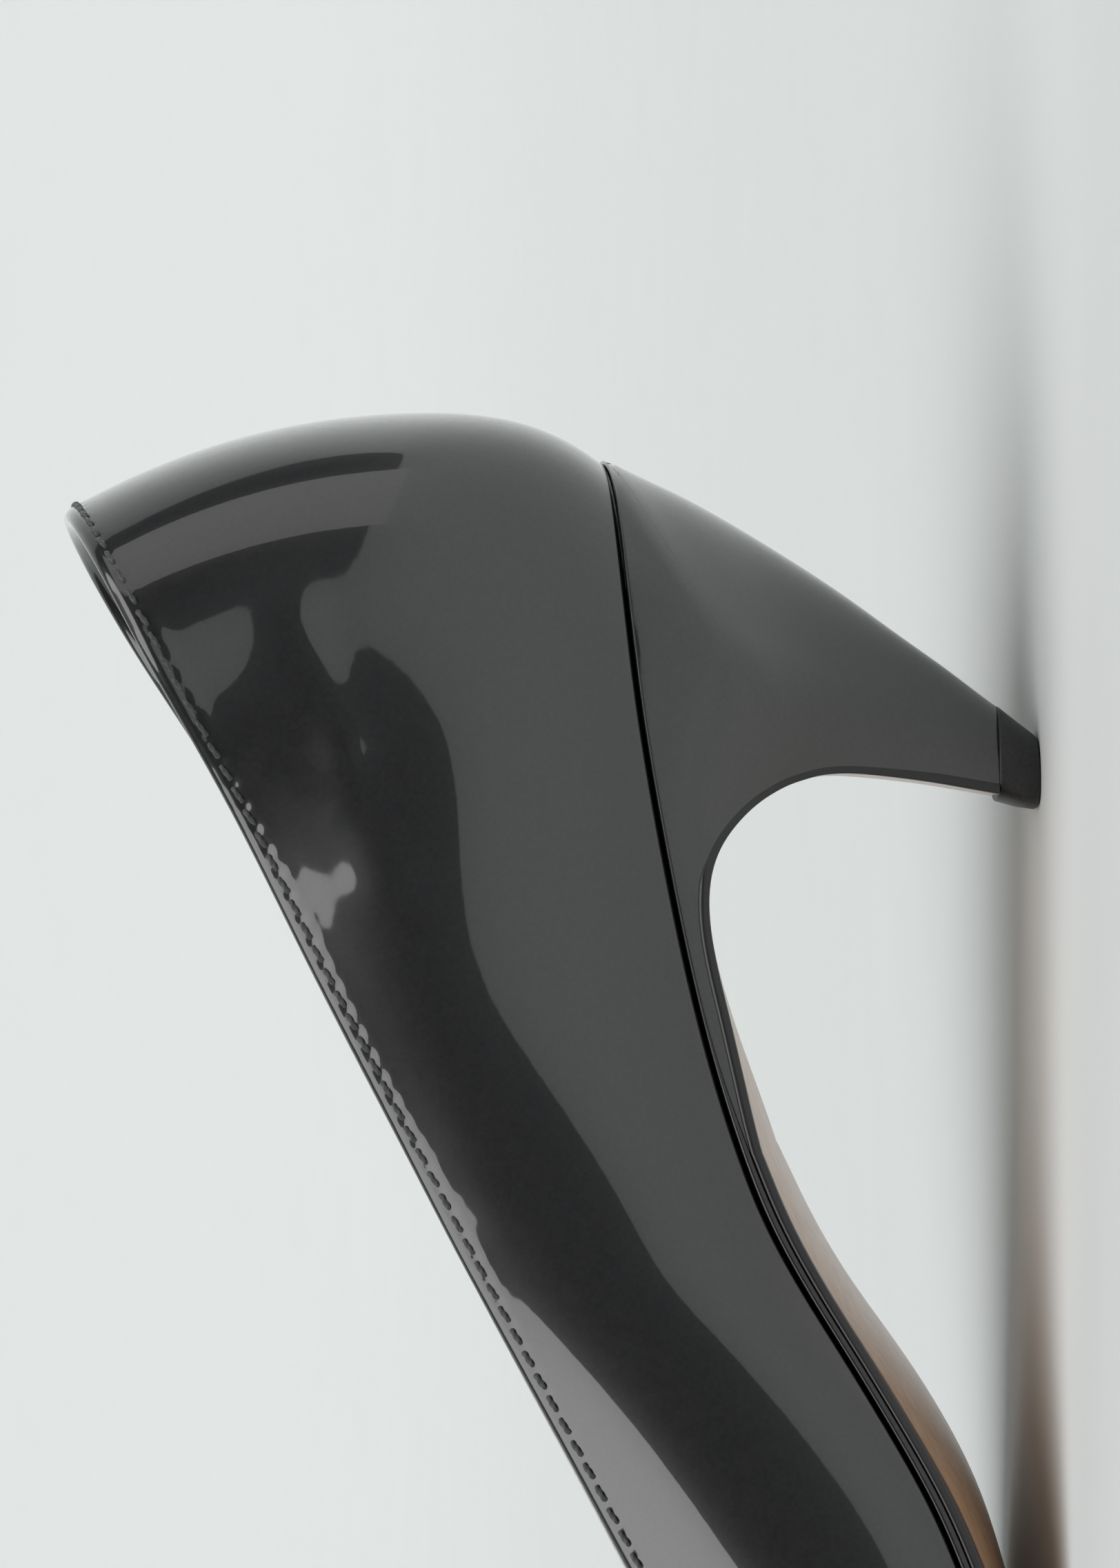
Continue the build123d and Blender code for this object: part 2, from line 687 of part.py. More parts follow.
# ---------------------------------------------------------------- fillers inside the rand
with BuildPart() as filler_block:
    add(INNER_COLUMN)
    add(UNDER_INSOLE, mode=Mode.INTERSECT)
    add(UNDER_RAND, mode=Mode.SUBTRACT)
    add(shank_blank.part, mode=Mode.SUBTRACT)

with BuildPart() as bottom_filler:
    add(filler_block.part)
    add(side_region(JOINT_SIDE), mode=Mode.INTERSECT)

with BuildPart() as seat_filler:
    add(filler_block.part)
    add(side_region(JOINT_SIDE), mode=Mode.SUBTRACT)
    add(shank_rivets.part, mode=Mode.SUBTRACT)
    add(heel_screw.part, mode=Mode.SUBTRACT)
    add(heel_nails.part, mode=Mode.SUBTRACT)

# ---------------------------------------------------------------- heel and outsole flap stations
# Each station: underside of the flap (x, z), far side of the heel (x, z), half width
# at the flap, greatest half width, squareness of the section.
STATIONS = ((FLAP_X, FEATHER_Z(FLAP_X) + rand_drop(FLAP_X) - SOLE, FLAP_X, 42.0, 23.4, 23.4, 6.0),
            (35.2, 32.8, 37.5, 44.0, 23.4, 23.4, 6.0),
            (27.3, 35.3, 29.0, 47.0, 23.4, 23.4, 6.0),
            (19.4, 37.6, 19.8, 50.0, 23.3, 23.4, 6.0),
            (14.0, 38.3, 11.5, 52.5, 22.9, 23.5, 6.0),
            (9.8, 37.6, 2.0, 54.0, 21.6, 23.5, 6.0),
            (6.3, 35.5, -9.0, 55.0, 19.4, 23.6, 5.5),
            (3.7, 32.8, -20.0, 55.0, 17.0, 23.6, 5.0),
            (2.1, 30.2, -30.0, 53.6, 15.0, 23.5, 4.2),
            (1.4, 28.5, -35.5, 50.8, 13.9, 22.8, 2.8),
            (0.9, 26.9, -34.6, 47.6, 12.9, 21.4, 2.5),
            (0.55, 25.2, -31.9, 41.8, 12.0, 18.6, 2.4),
            (0.4, 23.0, -28.4, 35.3, 10.9, 15.4, 2.3),
            (0.5, 20.4, -24.6, 29.0, 9.7, 12.6, 2.3),
            (0.8, 17.2, -20.3, 22.4, 8.4, 10.2, 2.3),
            (1.2, 13.9, -16.0, 16.4, 7.3, 8.3, 2.3),
            (1.7, 10.6, -11.8, 10.5, 6.4, 6.9, 2.3),
            (2.6, 5.3, -7.9, 5.3, 5.3, 5.5, 2.3),
            (3.1, 2.0, -5.6, 1.9, 4.8, 4.9, 2.3))


def station_plane(station):
    """Section plane through the flap underside and the far side of the heel."""
    fx, fz, bx, bz = station[:4]
    length = hypot(bx - fx, bz - fz)
    ux, uz = (bx - fx) / length, (bz - fz) / length
    return Plane(origin=(fx, 0, fz), x_dir=(ux, 0, uz), z_dir=(-uz, 0, ux)), length


def tilt(x, v):
    """Sideways slope and bow of the sole carried into the flap."""
    return ROLL(x) * v + BOW(x) * v * v if x > 0 else 0.0006 * v * v


def flap_body():
    """Outsole leather turned down the breast of the heel."""
    with BuildPart() as body:
        for station in STATIONS[:-1]:
            plane, length = station_plane(station)
            x, w = station[0], station[4] + 0.15
            ends = [(tilt(x, v), v) for v in (-w, 0, w)]
            inner = [(u + SOLE, v) for u, v in ends]
            with BuildSketch(plane):
                with BuildLine():
                    ThreePointArc(*ends)
                    Line(ends[2], inner[2])
                    ThreePointArc(*inner[::-1])
                    Line(inner[0], ends[0])
                make_face()
        loft(ruled=True)
    return body.part


def heel_ring(station, inset):
    """Side and back line of a heel section, front edge to front edge, inside the sole outline."""
    plane, length = station_plane(station)
    x, front, widest, power = station[0], station[4] - inset, station[5] - inset, station[6]
    u0 = SOLE / 2
    deep = length - inset - u0
    ring = []
    for side in (-1, 1):
        row = []
        for k in range(RING_POINTS):
            t = sin(0.5 * pi * k / RING_POINTS) ** 1.2
            bulge = sin(0.5 * pi * min(1.0, t / 0.45))
            v = side * (front + (widest - front) * bulge) * (1 - t ** power) ** (1 / power)
            u = t * deep + u0 + tilt(x, v) * (1 - t)
            room = abs(sole_width(x + plane.x_dir.X * u, side)) - inset
            row.append((u, side * min(abs(v), max(room, 0.3))))
        ring += row + [(deep + u0, 0)] if side < 0 else row[::-1]
    return ring


def heel_block(inset):
    """Heel solid with back and sides drawn in by an inset, front inside the flap."""
    faces = []
    for station in STATIONS:
        ring = heel_ring(station, inset)
        with BuildSketch(station_plane(station)[0]) as sketch:
            with BuildLine():
                add(smooth_edge(ring))
                ThreePointArc(ring[-1], (SOLE / 2, 0), ring[0])
            make_face()
        faces.append(sketch.sketch)
    return loft_through(faces)


def cover_wrap():
    """Leather wrapped round the sides and the back of the heel."""
    faces = []
    for station in STATIONS:
        out, into = heel_ring(station, 0.0), heel_ring(station, HEEL_COVER)
        with BuildSketch(station_plane(station)[0]) as sketch:
            with BuildLine():
                add(smooth_edge(out))
                Line(out[-1], into[-1])
                add(smooth_edge(into[::-1]))
                Line(into[0], out[0])
            make_face()
        faces.append(sketch.sketch)
    return loft_through(faces)


FLAP = flap_body()
LIFT_LEVEL = side_region(((-60, -20), (60, -20), (60, LIFT_TOP + 0.15), (-60, LIFT_TOP + 0.15)))

# ---------------------------------------------------------------- outsole: sole and flap in one leather
FORE_SIDE = ((FLAP_X, -30), (FAR, -30), (FAR, 60), (FLAP_X, 60))
GROUND_REGION = side_region(((-60, -40), (FAR, -40), (FAR, 0), (-60, 0)))
with BuildPart() as sole_plate:
    add(SOLE_COLUMN)
    add(UNDER_RAND, mode=Mode.INTERSECT)
    add(side_region(FORE_SIDE), mode=Mode.INTERSECT)
    add(UNDER_SOLE, mode=Mode.SUBTRACT)
    add(GROUND_REGION, mode=Mode.SUBTRACT)

with BuildPart() as flap:
    add(FLAP)
    add(SOLE_COLUMN, mode=Mode.INTERSECT)
    add(UNDER_RAND, mode=Mode.INTERSECT)
    add(LIFT_LEVEL, mode=Mode.SUBTRACT)


with BuildPart() as outsole:
    add(sole_plate.part)
    add(flap.part)

# ---------------------------------------------------------------- heel core and its covering
with BuildPart() as cover_blank:
    add(cover_wrap())
    add(UNDER_RAND, mode=Mode.INTERSECT)
    add(FLAP, mode=Mode.SUBTRACT)
    add(LIFT_LEVEL, mode=Mode.SUBTRACT)

with BuildPart() as heel_cover:
    add(cover_blank.part.solids().sort_by(SortBy.VOLUME)[-1])

with BuildPart() as heel_core:
    add(heel_block(HEEL_COVER))
    add(UNDER_RAND, mode=Mode.INTERSECT)
    add(FLAP, mode=Mode.SUBTRACT)
    add(LIFT_LEVEL, mode=Mode.SUBTRACT)
    add(tube_blank.part, mode=Mode.SUBTRACT)
    add(top_lift_pin.part, mode=Mode.SUBTRACT)
    add(heel_screw.part, mode=Mode.SUBTRACT)
    add(heel_nails.part, mode=Mode.SUBTRACT)

# ---------------------------------------------------------------- top lift
LIFT_SECTIONS = ((0.0, 4.1, -3.9, 4.4), (0.5, 4.3, -4.3, 4.8), (LIFT_TOP, 3.4, -7.6, 5.6))


def lift_section(z, front, back, half):
    """D shaped section of the lift: nearly flat in front, round behind."""
    centre = front - 0.38 * (front - back)
    with BuildSketch(Plane.XY.offset(z)) as sketch:
        with BuildLine():
            ring = [(front, 0), (front - 0.25, half * 0.55), (front - 0.9, half * 0.85), (centre, half),
                    (0.5 * (centre + back), half * 0.8), (back + 0.5, half * 0.42), (back, 0)]
            other = [(x, -y) for x, y in ring[::-1]]
            add(smooth_edge(ring))
            add(smooth_edge(other))
        make_face()
    return sketch.sketch


with BuildPart() as top_lift:
    add(loft_through([lift_section(*row) for row in LIFT_SECTIONS]))
    add(top_lift_pin.part, mode=Mode.SUBTRACT)

# ---------------------------------------------------------------- topline stitching
def stitch_spots(side):
    """Points and directions along the stitch line of one side of the topline."""
    spots = []
    points = []
    count = 400
    start = back_rim(0.0, STITCH_DROP)
    end = throat(STITCH_DROP)
    for k in range(count + 1):
        n = start + 0.02 + (end - start - 0.04) * (0.5 - 0.5 * cos(pi * k / count))
        angle = rim_angle(n, 0.0, side, STITCH_DROP)
        points.append(Vector(*in_space(n, *section_point(n, -STITCH_R - SEAM_GAP, angle * side))))
    travelled, wanted = 0.0, STITCH_PITCH / 2
    for a, b in zip(points, points[1:]):
        step = (b - a).length
        while travelled + step > wanted:
            spots.append((a + (b - a) * ((wanted - travelled) / step), (b - a).normalized()))
            wanted += STITCH_PITCH
        travelled += step
    return spots


with BuildPart() as topline_stitching:
    for side in (1, -1):
        for spot, along in stitch_spots(side):
            with BuildSketch(Plane(origin=spot - along * (STITCH_LENGTH / 2), z_dir=along)):
                Circle(STITCH_R)
            extrude(amount=STITCH_LENGTH)

# ---------------------------------------------------------------- write every sub-part
PIECES = {
    "upper": upper, "vamp_lining": vamp_lining, "quarter_lining": quarter_lining,
    "heel_grip": heel_grip, "heel_counter": heel_counter, "toe_puff": toe_puff,
    "vamp_interlining": vamp_interlining, "topline_tape": topline_tape,
    "topline_stitching": topline_stitching, "insole_forepart": insole_forepart,
    "insole_backpart": insole_backpart, "shank": shank, "shank_rivets": shank_rivets,
    "bottom_filler": bottom_filler, "seat_filler": seat_filler,
    "footbed_cushion": footbed_cushion, "sock_lining": sock_lining, "rand": rand,
    "outsole": outsole, "heel_core": heel_core, "heel_cover": heel_cover,
    "heel_tube": heel_tube, "top_lift": top_lift, "top_lift_pin": top_lift_pin,
    "heel_screw": heel_screw, "heel_nails": heel_nails,
}
os.makedirs("parts", exist_ok=True)
for label, piece in PIECES.items():
    piece.part.label = label
    export_step(piece.part, f"parts/{label}.step")
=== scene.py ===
import math

import bpy
import numpy as np
from mathutils import Matrix, Vector


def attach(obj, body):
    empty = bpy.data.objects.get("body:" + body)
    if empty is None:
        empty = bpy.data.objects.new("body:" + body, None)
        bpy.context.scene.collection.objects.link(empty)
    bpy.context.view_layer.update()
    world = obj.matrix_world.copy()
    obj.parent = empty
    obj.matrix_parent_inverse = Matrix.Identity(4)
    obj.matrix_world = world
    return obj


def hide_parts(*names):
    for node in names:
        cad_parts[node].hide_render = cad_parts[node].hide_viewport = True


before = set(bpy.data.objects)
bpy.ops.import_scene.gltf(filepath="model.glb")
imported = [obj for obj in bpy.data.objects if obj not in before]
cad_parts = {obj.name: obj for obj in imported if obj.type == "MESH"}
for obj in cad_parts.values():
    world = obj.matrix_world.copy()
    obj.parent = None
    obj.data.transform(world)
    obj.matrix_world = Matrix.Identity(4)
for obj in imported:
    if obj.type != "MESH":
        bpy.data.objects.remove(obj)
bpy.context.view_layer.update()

# Lengths below are millimetres in the row frame: toe +X, inner side +Y, up +Z.
MM = 0.001
RNG = np.random.default_rng(7)


def curve(*points):
    """Natural cubic curve through (x, value) points, straight past its ends."""
    p = np.array(points, float)
    x, y = p[:, 0], p[:, 1]
    h = np.diff(x)
    n = len(x)
    a, r = np.eye(n), np.zeros(n)
    for i in range(1, n - 1):
        a[i, i - 1:i + 2] = h[i - 1], 2 * (h[i - 1] + h[i]), h[i]
        r[i] = 6 * ((y[i + 1] - y[i]) / h[i] - (y[i] - y[i - 1]) / h[i - 1])
    m = np.linalg.solve(a, r)

    def value(q):
        q = np.asarray(q, float)
        k = np.clip(q, x[0], x[-1])
        i = np.clip(np.searchsorted(x, k) - 1, 0, n - 2)
        b = (y[i + 1] - y[i]) / h[i] - h[i] * (2 * m[i] + m[i + 1]) / 6
        t = k - x[i]
        slope = b + t * m[i] + t * t * (m[i + 1] - m[i]) / (2 * h[i])
        v = y[i] + t * (b + t * (m[i] / 2 + t * (m[i + 1] - m[i]) / (6 * h[i])))
        return v + (q - k) * slope

    return value


# ---------------------------------------------------------------- shape of the lasted upper
TOE_TIP, TOE_LENGTH = 209.0, 34.0
PIVOT_X, PIVOT_Z, FAN = 55.0, 150.0, 80.0
FEATHER_Z = curve((-60, 53.0), (-36, 50.4), (-8, 47.1), (10, 43.3), (27, 38.7), (43, 32.7),
                  (51, 29.1), (59, 24.4), (66.8, 18.9), (74.7, 13.6), (82.6, 9.3), (90.5, 6.5),
                  (100, 4.2), (112, 2.5), (124, 2.2), (138, 2.5), (160, 4.0), (184, 6.3), (215, 9.9))
ROLL = curve((-60, 0), (-8, 0), (10, 0.03), (27, 0.07), (43, 0.12), (59, 0.136),
             (70, 0.142), (82.6, 0.117), (95, 0.07), (112, 0.02), (130, 0), (215, 0))
BOW = curve((-60, 0.0004), (0, 0.0006), (43, 0.001), (67, 0.0016), (125, 0.0016), (215, 0.0016))
WIDTH = curve((-50, 25.5), (-30, 26.4), (-17, 26.8), (0, 27.1), (20, 27.2), (40, 27.3), (55, 28.8),
              (75, 32.8), (92, 37.2), (105, 38.9), (118, 37.9), (135, 33.4), (155, 26.0),
              (175, 18.8), (190, 14.2), (209, 10.6))
SHIFT = curve((-50, 0), (0, 0), (25, -0.8), (60, -2.6), (85, -1.6), (105, -0.2), (130, 1.4),
              (160, 2.6), (209, 3.2))
RIDGE = curve((55, 88), (75, 71), (92, 59), (105, 51), (120, 43.2), (144, 33.9), (165, 27.8),
              (185, 22.2), (209, 17.6))
LEVEL = curve((55, 27), (75, 21.5), (92, 19.5), (105, 18.5), (125, 18), (150, 16), (180, 13), (209, 10))
BELOW = curve((55, 9.5), (75, 8.5), (92, 8.5), (125, 8.2), (180, 7), (209, 6))
REAR_TOP = curve((-54, 36), (-36, 42), (-17, 46), (10, 50), (35, 56), (55, 62))
REAR_LEVEL = curve((-50, 30), (-17, 31), (0, 33), (20, 33), (40, 30), (55, 27))
LOW_POWER = curve((-50, 2.3), (-17, 2.5), (0, 2.7), (20, 2.6), (40, 2.25), (55, 2.1), (75, 2.3),
                  (95, 2.8), (125, 2.9), (209, 2.6))
TOP_POWER = curve((-50, 1.7), (0, 1.85), (30, 2.0), (55, 2.15), (92, 2.2), (120, 2.1), (144, 2.0), (209, 2.2))
BACK_LINE = ((55, 17), (30, 26), (8, 33), (-12, 38), (-27, 43), (-35.6, 50.8), (-39.6, 58.5),
             (-41, 73.2), (-39.5, 85.9), (-35.9, 98.5), (-29.6, 111.8), (-20, 126))
BACK_REACH = curve(*[(PIVOT_X - FAN * math.atan2(PIVOT_X - x, PIVOT_Z - z),
                      math.hypot(PIVOT_X - x, PIVOT_Z - z)) for x, z in reversed(BACK_LINE)])
TOPLINE = curve((-40, 117.3), (-28.7, 111.2), (-12, 102.5), (4, 93.7), (20, 85.7), (43.5, 73.6),
                (63, 63.4), (79, 54.8), (91, 48.5), (102, 42.8), (114, 38), (128, 35), (144, 33.9),
                (170, 33.9))
TOPLINE_DROP = curve((-40, 0), (-28, 0), (-16, 0.8), (4, 2.2), (20, 3), (43, 3.7), (70, 4.4),
                     (95, 4), (120, 1.8), (144, 0), (170, 0))
HALF = 9
RING = 2 * (HALF - 1)


def ground(x, y):
    """Feather plane height: the line where the upper meets the sole."""
    return FEATHER_Z(x) + ROLL(x) * y + BOW(x) * y * y


def taper(number, power):
    s = np.clip((number - (TOE_TIP - TOE_LENGTH)) / TOE_LENGTH, 0, 1)
    return np.sqrt(np.maximum(1 - s ** power, 0))


def control_rings(number):
    """Control points of whole sections in space: (numbers, RING, 3)."""
    number = np.asarray(number, float)
    fore = number >= PIVOT_X
    c = taper(number, 2.6)
    tip = FEATHER_Z(TOE_TIP) + 1.2
    low = np.where(fore, PIVOT_Z - (tip + (FEATHER_Z(number) - BELOW(number) - tip) * c), BACK_REACH(number))
    mid = np.where(fore, PIVOT_Z - (tip + (FEATHER_Z(number) - BELOW(number) + LEVEL(number) - tip) * c),
                   BACK_REACH(number) - REAR_LEVEL(number))
    top = np.where(fore, PIVOT_Z - (tip + (RIDGE(number) - tip) * taper(number, 3.0)), REAR_TOP(number))
    half = WIDTH(number) * c
    angle = np.where(fore, 0.0, (PIVOT_X - number) / FAN)
    out = np.zeros((len(number), RING, 3))
    for k in range(RING):
        a = math.pi * k / (HALF - 1)
        s, co = math.sin(a), math.cos(a)
        p = LOW_POWER(number) if co > 1e-9 else TOP_POWER(number)
        side = abs(s) ** (2 / p) * np.sign(s) if abs(s) > 1e-9 else 0.0
        up = abs(co) ** (2 / p) if abs(co) > 1e-9 else 0.0
        r = mid + (low - mid) * up if co > 0 else mid - (mid - top) * up
        out[:, k, 0] = np.where(fore, number, PIVOT_X - r * np.sin(angle))
        out[:, k, 1] = SHIFT(number) + half * side
        out[:, k, 2] = PIVOT_Z - r * np.cos(angle)
    return out


STEP = 0.25
NUMBERS = np.arange(-56, TOE_TIP + STEP / 2, STEP)


def smoothed(rings, sigma, lo, hi):
    """Evens the rings along the shoe between two numbers, leaving the ends alone."""
    reach = int(3 * sigma / STEP)
    kernel = np.exp(-0.5 * (np.arange(-reach, reach + 1) * STEP / sigma) ** 2)
    kernel /= kernel.sum()
    before = 2 * rings[:1] - rings[reach:0:-1]
    after = 2 * rings[-1:] - rings[-2:-reach - 2:-1]
    padded = np.concatenate([before, rings, after])
    even = np.zeros_like(rings)
    for i, w in enumerate(kernel):
        even += w * padded[i:i + len(rings)]
    blend = np.clip((NUMBERS - lo) / 12, 0, 1) * np.clip((hi - NUMBERS) / 12, 0, 1)
    blend = (blend * blend * (3 - 2 * blend))[:, None, None]
    return rings * (1 - blend) + even * blend


RINGS = smoothed(control_rings(NUMBERS), 3.0, 28, 90)


def periodic_curvature(n):
    a, b = np.zeros((n, n)), np.zeros((n, n))
    for i in range(n):
        for j, (u, v) in zip((i - 1, i, i + 1), ((1, 6), (4, -12), (1, 6))):
            a[i, j % n] += u
            b[i, j % n] += v
    return np.linalg.solve(a, b)


BENDS = np.einsum('ij,njk->nik', periodic_curvature(RING), RINGS)


def surface(number, theta):
    """Outer surface; theta 0 below or behind, +1 ridge by the inner side, -1 by the outer side."""
    number, theta = np.broadcast_arrays(np.asarray(number, float), np.asarray(theta, float))
    shape = number.shape
    f = np.clip((number.ravel() - NUMBERS[0]) / STEP, 0, len(NUMBERS) - 1.001)
    n = f.astype(int)
    w = (f - n)[:, None]
    q = (theta.ravel() * (HALF - 1)) % RING
    i = np.floor(q).astype(int) % RING
    t = (q - np.floor(q))[:, None]
    j = (i + 1) % RING

    def pick(table):
        return (table[n, i] * (1 - w) + table[n + 1, i] * w, table[n, j] * (1 - w) + table[n + 1, j] * w)

    p0, p1 = pick(RINGS)
    m0, m1 = pick(BENDS)
    v = (1 - t) * p0 + t * p1 + ((1 - t) ** 3 - (1 - t)) * m0 / 6 + (t ** 3 - t) * m1 / 6
    return v.reshape(shape + (3,))


def normal(number, theta):
    """Outward unit normal of the outer surface."""
    e = 0.4
    number = np.minimum(number, TOE_TIP - 1.5)
    du = surface(number + e, theta) - surface(number - e, theta)
    dv = surface(number, theta + 0.004) - surface(number, theta - 0.004)
    n = np.cross(dv, du)
    n /= np.maximum(np.linalg.norm(n, axis=-1, keepdims=True), 1e-9)
    return n


def layer(number, theta, depth):
    """Surface drawn in by a depth along its normal."""
    return surface(number, theta) - normal(number, theta) * depth


def rim_height(p, side, drop):
    lower = TOPLINE_DROP(p[..., 0]) if side < 0 else 0.0
    return TOPLINE(p[..., 0]) - lower - drop


def solve_theta(number, side, above, low=0.0, high=1.0):
    """Largest theta whose point isn't yet 'above', by halving, for arrays."""
    lo = np.full(np.shape(number), low, float)
    hi = np.full(np.shape(number), high, float)
    for _ in range(32):
        mid = 0.5 * (lo + hi)
        up = above(number, mid * side)
        lo, hi = np.where(up, lo, mid), np.where(up, mid, hi)
    return 0.5 * (lo + hi)


def rim_theta(number, side, drop=0.0, depth=0.0):
    def above(n, th):
        p = layer(n, th, depth) if depth else surface(n, th)
        return p[..., 2] > rim_height(p, side, drop)
    return solve_theta(number, side, above)


def feather_theta(number, side, rise=0.0, depth=0.0):
    def above(n, th):
        p = layer(n, th, depth) if depth else surface(n, th)
        return p[..., 2] > ground(p[..., 0], p[..., 1]) + rise
    return solve_theta(number, side, above, 0.0, 0.5)


def seat_number():
    """Section number where the back of the shoe reaches the sole."""
    lo, hi = -20.0, 12.0
    for _ in range(40):
        mid = 0.5 * (lo + hi)
        p = surface(mid, 0.0)
        if p[2] > ground(p[0], p[1]):
            lo = mid
        else:
            hi = mid
    return hi


# ---------------------------------------------------------------- mesh helpers
def make_mesh(name, points, faces, attributes=None, smooth=True):
    mesh = bpy.data.meshes.new(name)
    mesh.from_pydata((np.asarray(points, float) * MM).tolist(), [], [list(map(int, f)) for f in faces])
    for key, values in (attributes or {}).items():
        layer_data = mesh.attributes.new(key, "FLOAT", "POINT")
        layer_data.data.foreach_set("value", np.asarray(values, np.float32).ravel())
    mesh.update()
    if smooth:
        mesh.shade_smooth()
    obj = bpy.data.objects.new(name, mesh)
    bpy.context.scene.collection.objects.link(obj)
    return obj


def grid_faces(nu, nv, close_u=False, close_v=False, flip=False, start=0):
    iu = np.arange(nu if close_u else nu - 1)
    iv = np.arange(nv if close_v else nv - 1)
    a, b = np.meshgrid(iu, iv, indexing="ij")
    a, b = a.ravel(), b.ravel()
    a2, b2 = (a + 1) % nu, (b + 1) % nv
    f = np.stack([a * nv + b, a2 * nv + b, a2 * nv + b2, a * nv + b2], -1) + start
    return f[:, ::-1] if flip else f


def weld(obj, distance=0.004):
    """Joins doubled points and drops faces that collapse."""
    import bmesh
    bm = bmesh.new()
    bm.from_mesh(obj.data)
    bmesh.ops.remove_doubles(bm, verts=bm.verts, dist=distance * MM)
    bmesh.ops.dissolve_degenerate(bm, edges=bm.edges, dist=1e-7)
    bmesh.ops.recalc_face_normals(bm, faces=bm.faces)
    bm.to_mesh(obj.data)
    bm.free()
    obj.data.shade_smooth()


# ---------------------------------------------------------------- sizes shared with the frame
LINING_IN, SUEDE, INSOLE_TOP, SOCK = 2.6, 0.7, 4.8, 0.8
PROUD, RAND, RAND_SEAT, SOLE, FLAP_X = 0.35, 1.2, 0.5, 1.3, 43.0
LIFT_TOP = 4.9
VAMP_SEAM, GRIP_END, SOCK_FRONT, LAST_RING = 97.0, -9.0, 190.0, 204.8
FOLD_R = 1.1                  # radius of the folded topline edge
STITCH_DROP, STITCH_PITCH, STITCH_LENGTH, STITCH_R = 1.75, 2.85, 2.35, 0.27
WALL_COLUMNS = 76


def rand_drop(x):
    return -RAND_SEAT - (RAND - RAND_SEAT) / (1 + np.exp(-(x - 38) / 4))


def cushion_rise(x):
    return 0.8 + 1.6 * np.exp(-((x + 8) / 30) ** 2) + 1.2 * np.exp(-((x - 112) / 24) ** 2)


def graded(start, end, count):
    """Values from start to end, closest together at both ends."""
    return start + (end - start) * (0.5 - 0.5 * np.cos(np.pi * np.linspace(0, 1, count)))


def joined(*runs):
    """Runs of numbers end to end, without the doubled joints."""
    return np.concatenate([runs[0]] + [run[1:] for run in runs[1:]])


def back_edge(drop, depth):
    """Section number at which a layer's back meets the topline."""
    def above(n, th):
        p = layer(n, th, depth)
        return p[..., 2] > TOPLINE(p[..., 0]) - drop
    lo, hi = -48.0, -10.0
    for _ in range(40):
        mid = 0.5 * (lo + hi)
        lo, hi = (mid, hi) if above(np.array(mid), np.array(0.0)) else (lo, mid)
    return hi


def seat_edge(rise, depth):
    """Section number at which a layer's back meets the raised feather plane."""
    lo, hi = -24.0, 14.0
    for _ in range(40):
        mid = 0.5 * (lo + hi)
        p = layer(np.array(mid), np.array(0.0), depth)
        high = p[2] > ground(p[0], p[1]) + rise
        lo, hi = (mid, hi) if high else (lo, mid)
    return hi


def throat_edge(drop):
    """Section number where the ridge meets the topline."""
    lo, hi = 110.0, 195.0
    for _ in range(40):
        mid = 0.5 * (lo + hi)
        lo, hi = (mid, hi) if surface(np.array(mid), np.array(1.0))[2] > TOPLINE(mid) - drop else (lo, mid)
    return hi


def even_columns(numbers, low, high, side, fractions, depth):
    """Thetas that split each row's line by length."""
    fine = np.linspace(0, 1, 97)
    theta = low[:, None] + (high - low)[:, None] * fine
    p = layer(numbers[:, None], side * theta, depth)
    length = np.cumsum(np.linalg.norm(np.diff(p, axis=1), axis=-1), axis=1)
    length = np.concatenate([np.zeros((len(numbers), 1)), length], 1)
    total = length[:, -1:]
    share = length / np.maximum(total, 1e-9)
    return np.stack([np.interp(fractions, share[i], theta[i]) for i in range(len(numbers))]), total


def wall_rows(numbers, side, drop, rise, depth, throat, seat):
    """Thetas and run lengths of one side of a layer, from low to high."""
    high = np.where(numbers >= throat, 1.0, rim_theta(numbers, side, drop, depth))
    low = np.where(numbers <= seat, 0.0, feather_theta(numbers, side, rise, depth))
    fractions = 0.5 - 0.5 * np.cos(np.pi * np.linspace(0, 1, WALL_COLUMNS))
    theta, total = even_columns(numbers, low, np.maximum(high, low), side, fractions, depth)
    return theta, total * fractions[None, :], total


SEAT = seat_number()
THROAT = throat_edge(FOLD_R)
BACK = back_edge(FOLD_R, 0.0)


# ---------------------------------------------------------------- topline: stitches and creases
def rim_path(drop, count):
    """Closed run of (number, theta) along the topline: inner side, back, outer side."""
    start, end = back_edge(drop, 0.0), throat_edge(drop)
    numbers = start + 0.004 + (end - start - 0.008) * (0.5 - 0.5 * np.cos(np.pi * np.linspace(0, 1, count)))
    inner = rim_theta(numbers, 1, drop)
    outer = -rim_theta(numbers, -1, drop)
    return np.concatenate([numbers[::-1], numbers]), np.concatenate([inner[::-1], outer])


def rim_frames(numbers, thetas):
    """Points, running direction, outward normal and up direction along a rim path."""
    p = surface(numbers, thetas)
    along = np.roll(p, -1, 0) - np.roll(p, 1, 0)
    along /= np.linalg.norm(along, axis=1, keepdims=True)
    out = normal(numbers, thetas)
    up = np.cross(out, along)
    up *= np.sign(up[:, 2:3])
    up /= np.linalg.norm(up, axis=1, keepdims=True)
    out = np.cross(along, up)
    out *= np.sign(np.einsum("ij,ij->i", out, normal(numbers, thetas)))[:, None]
    return p, along, out, up


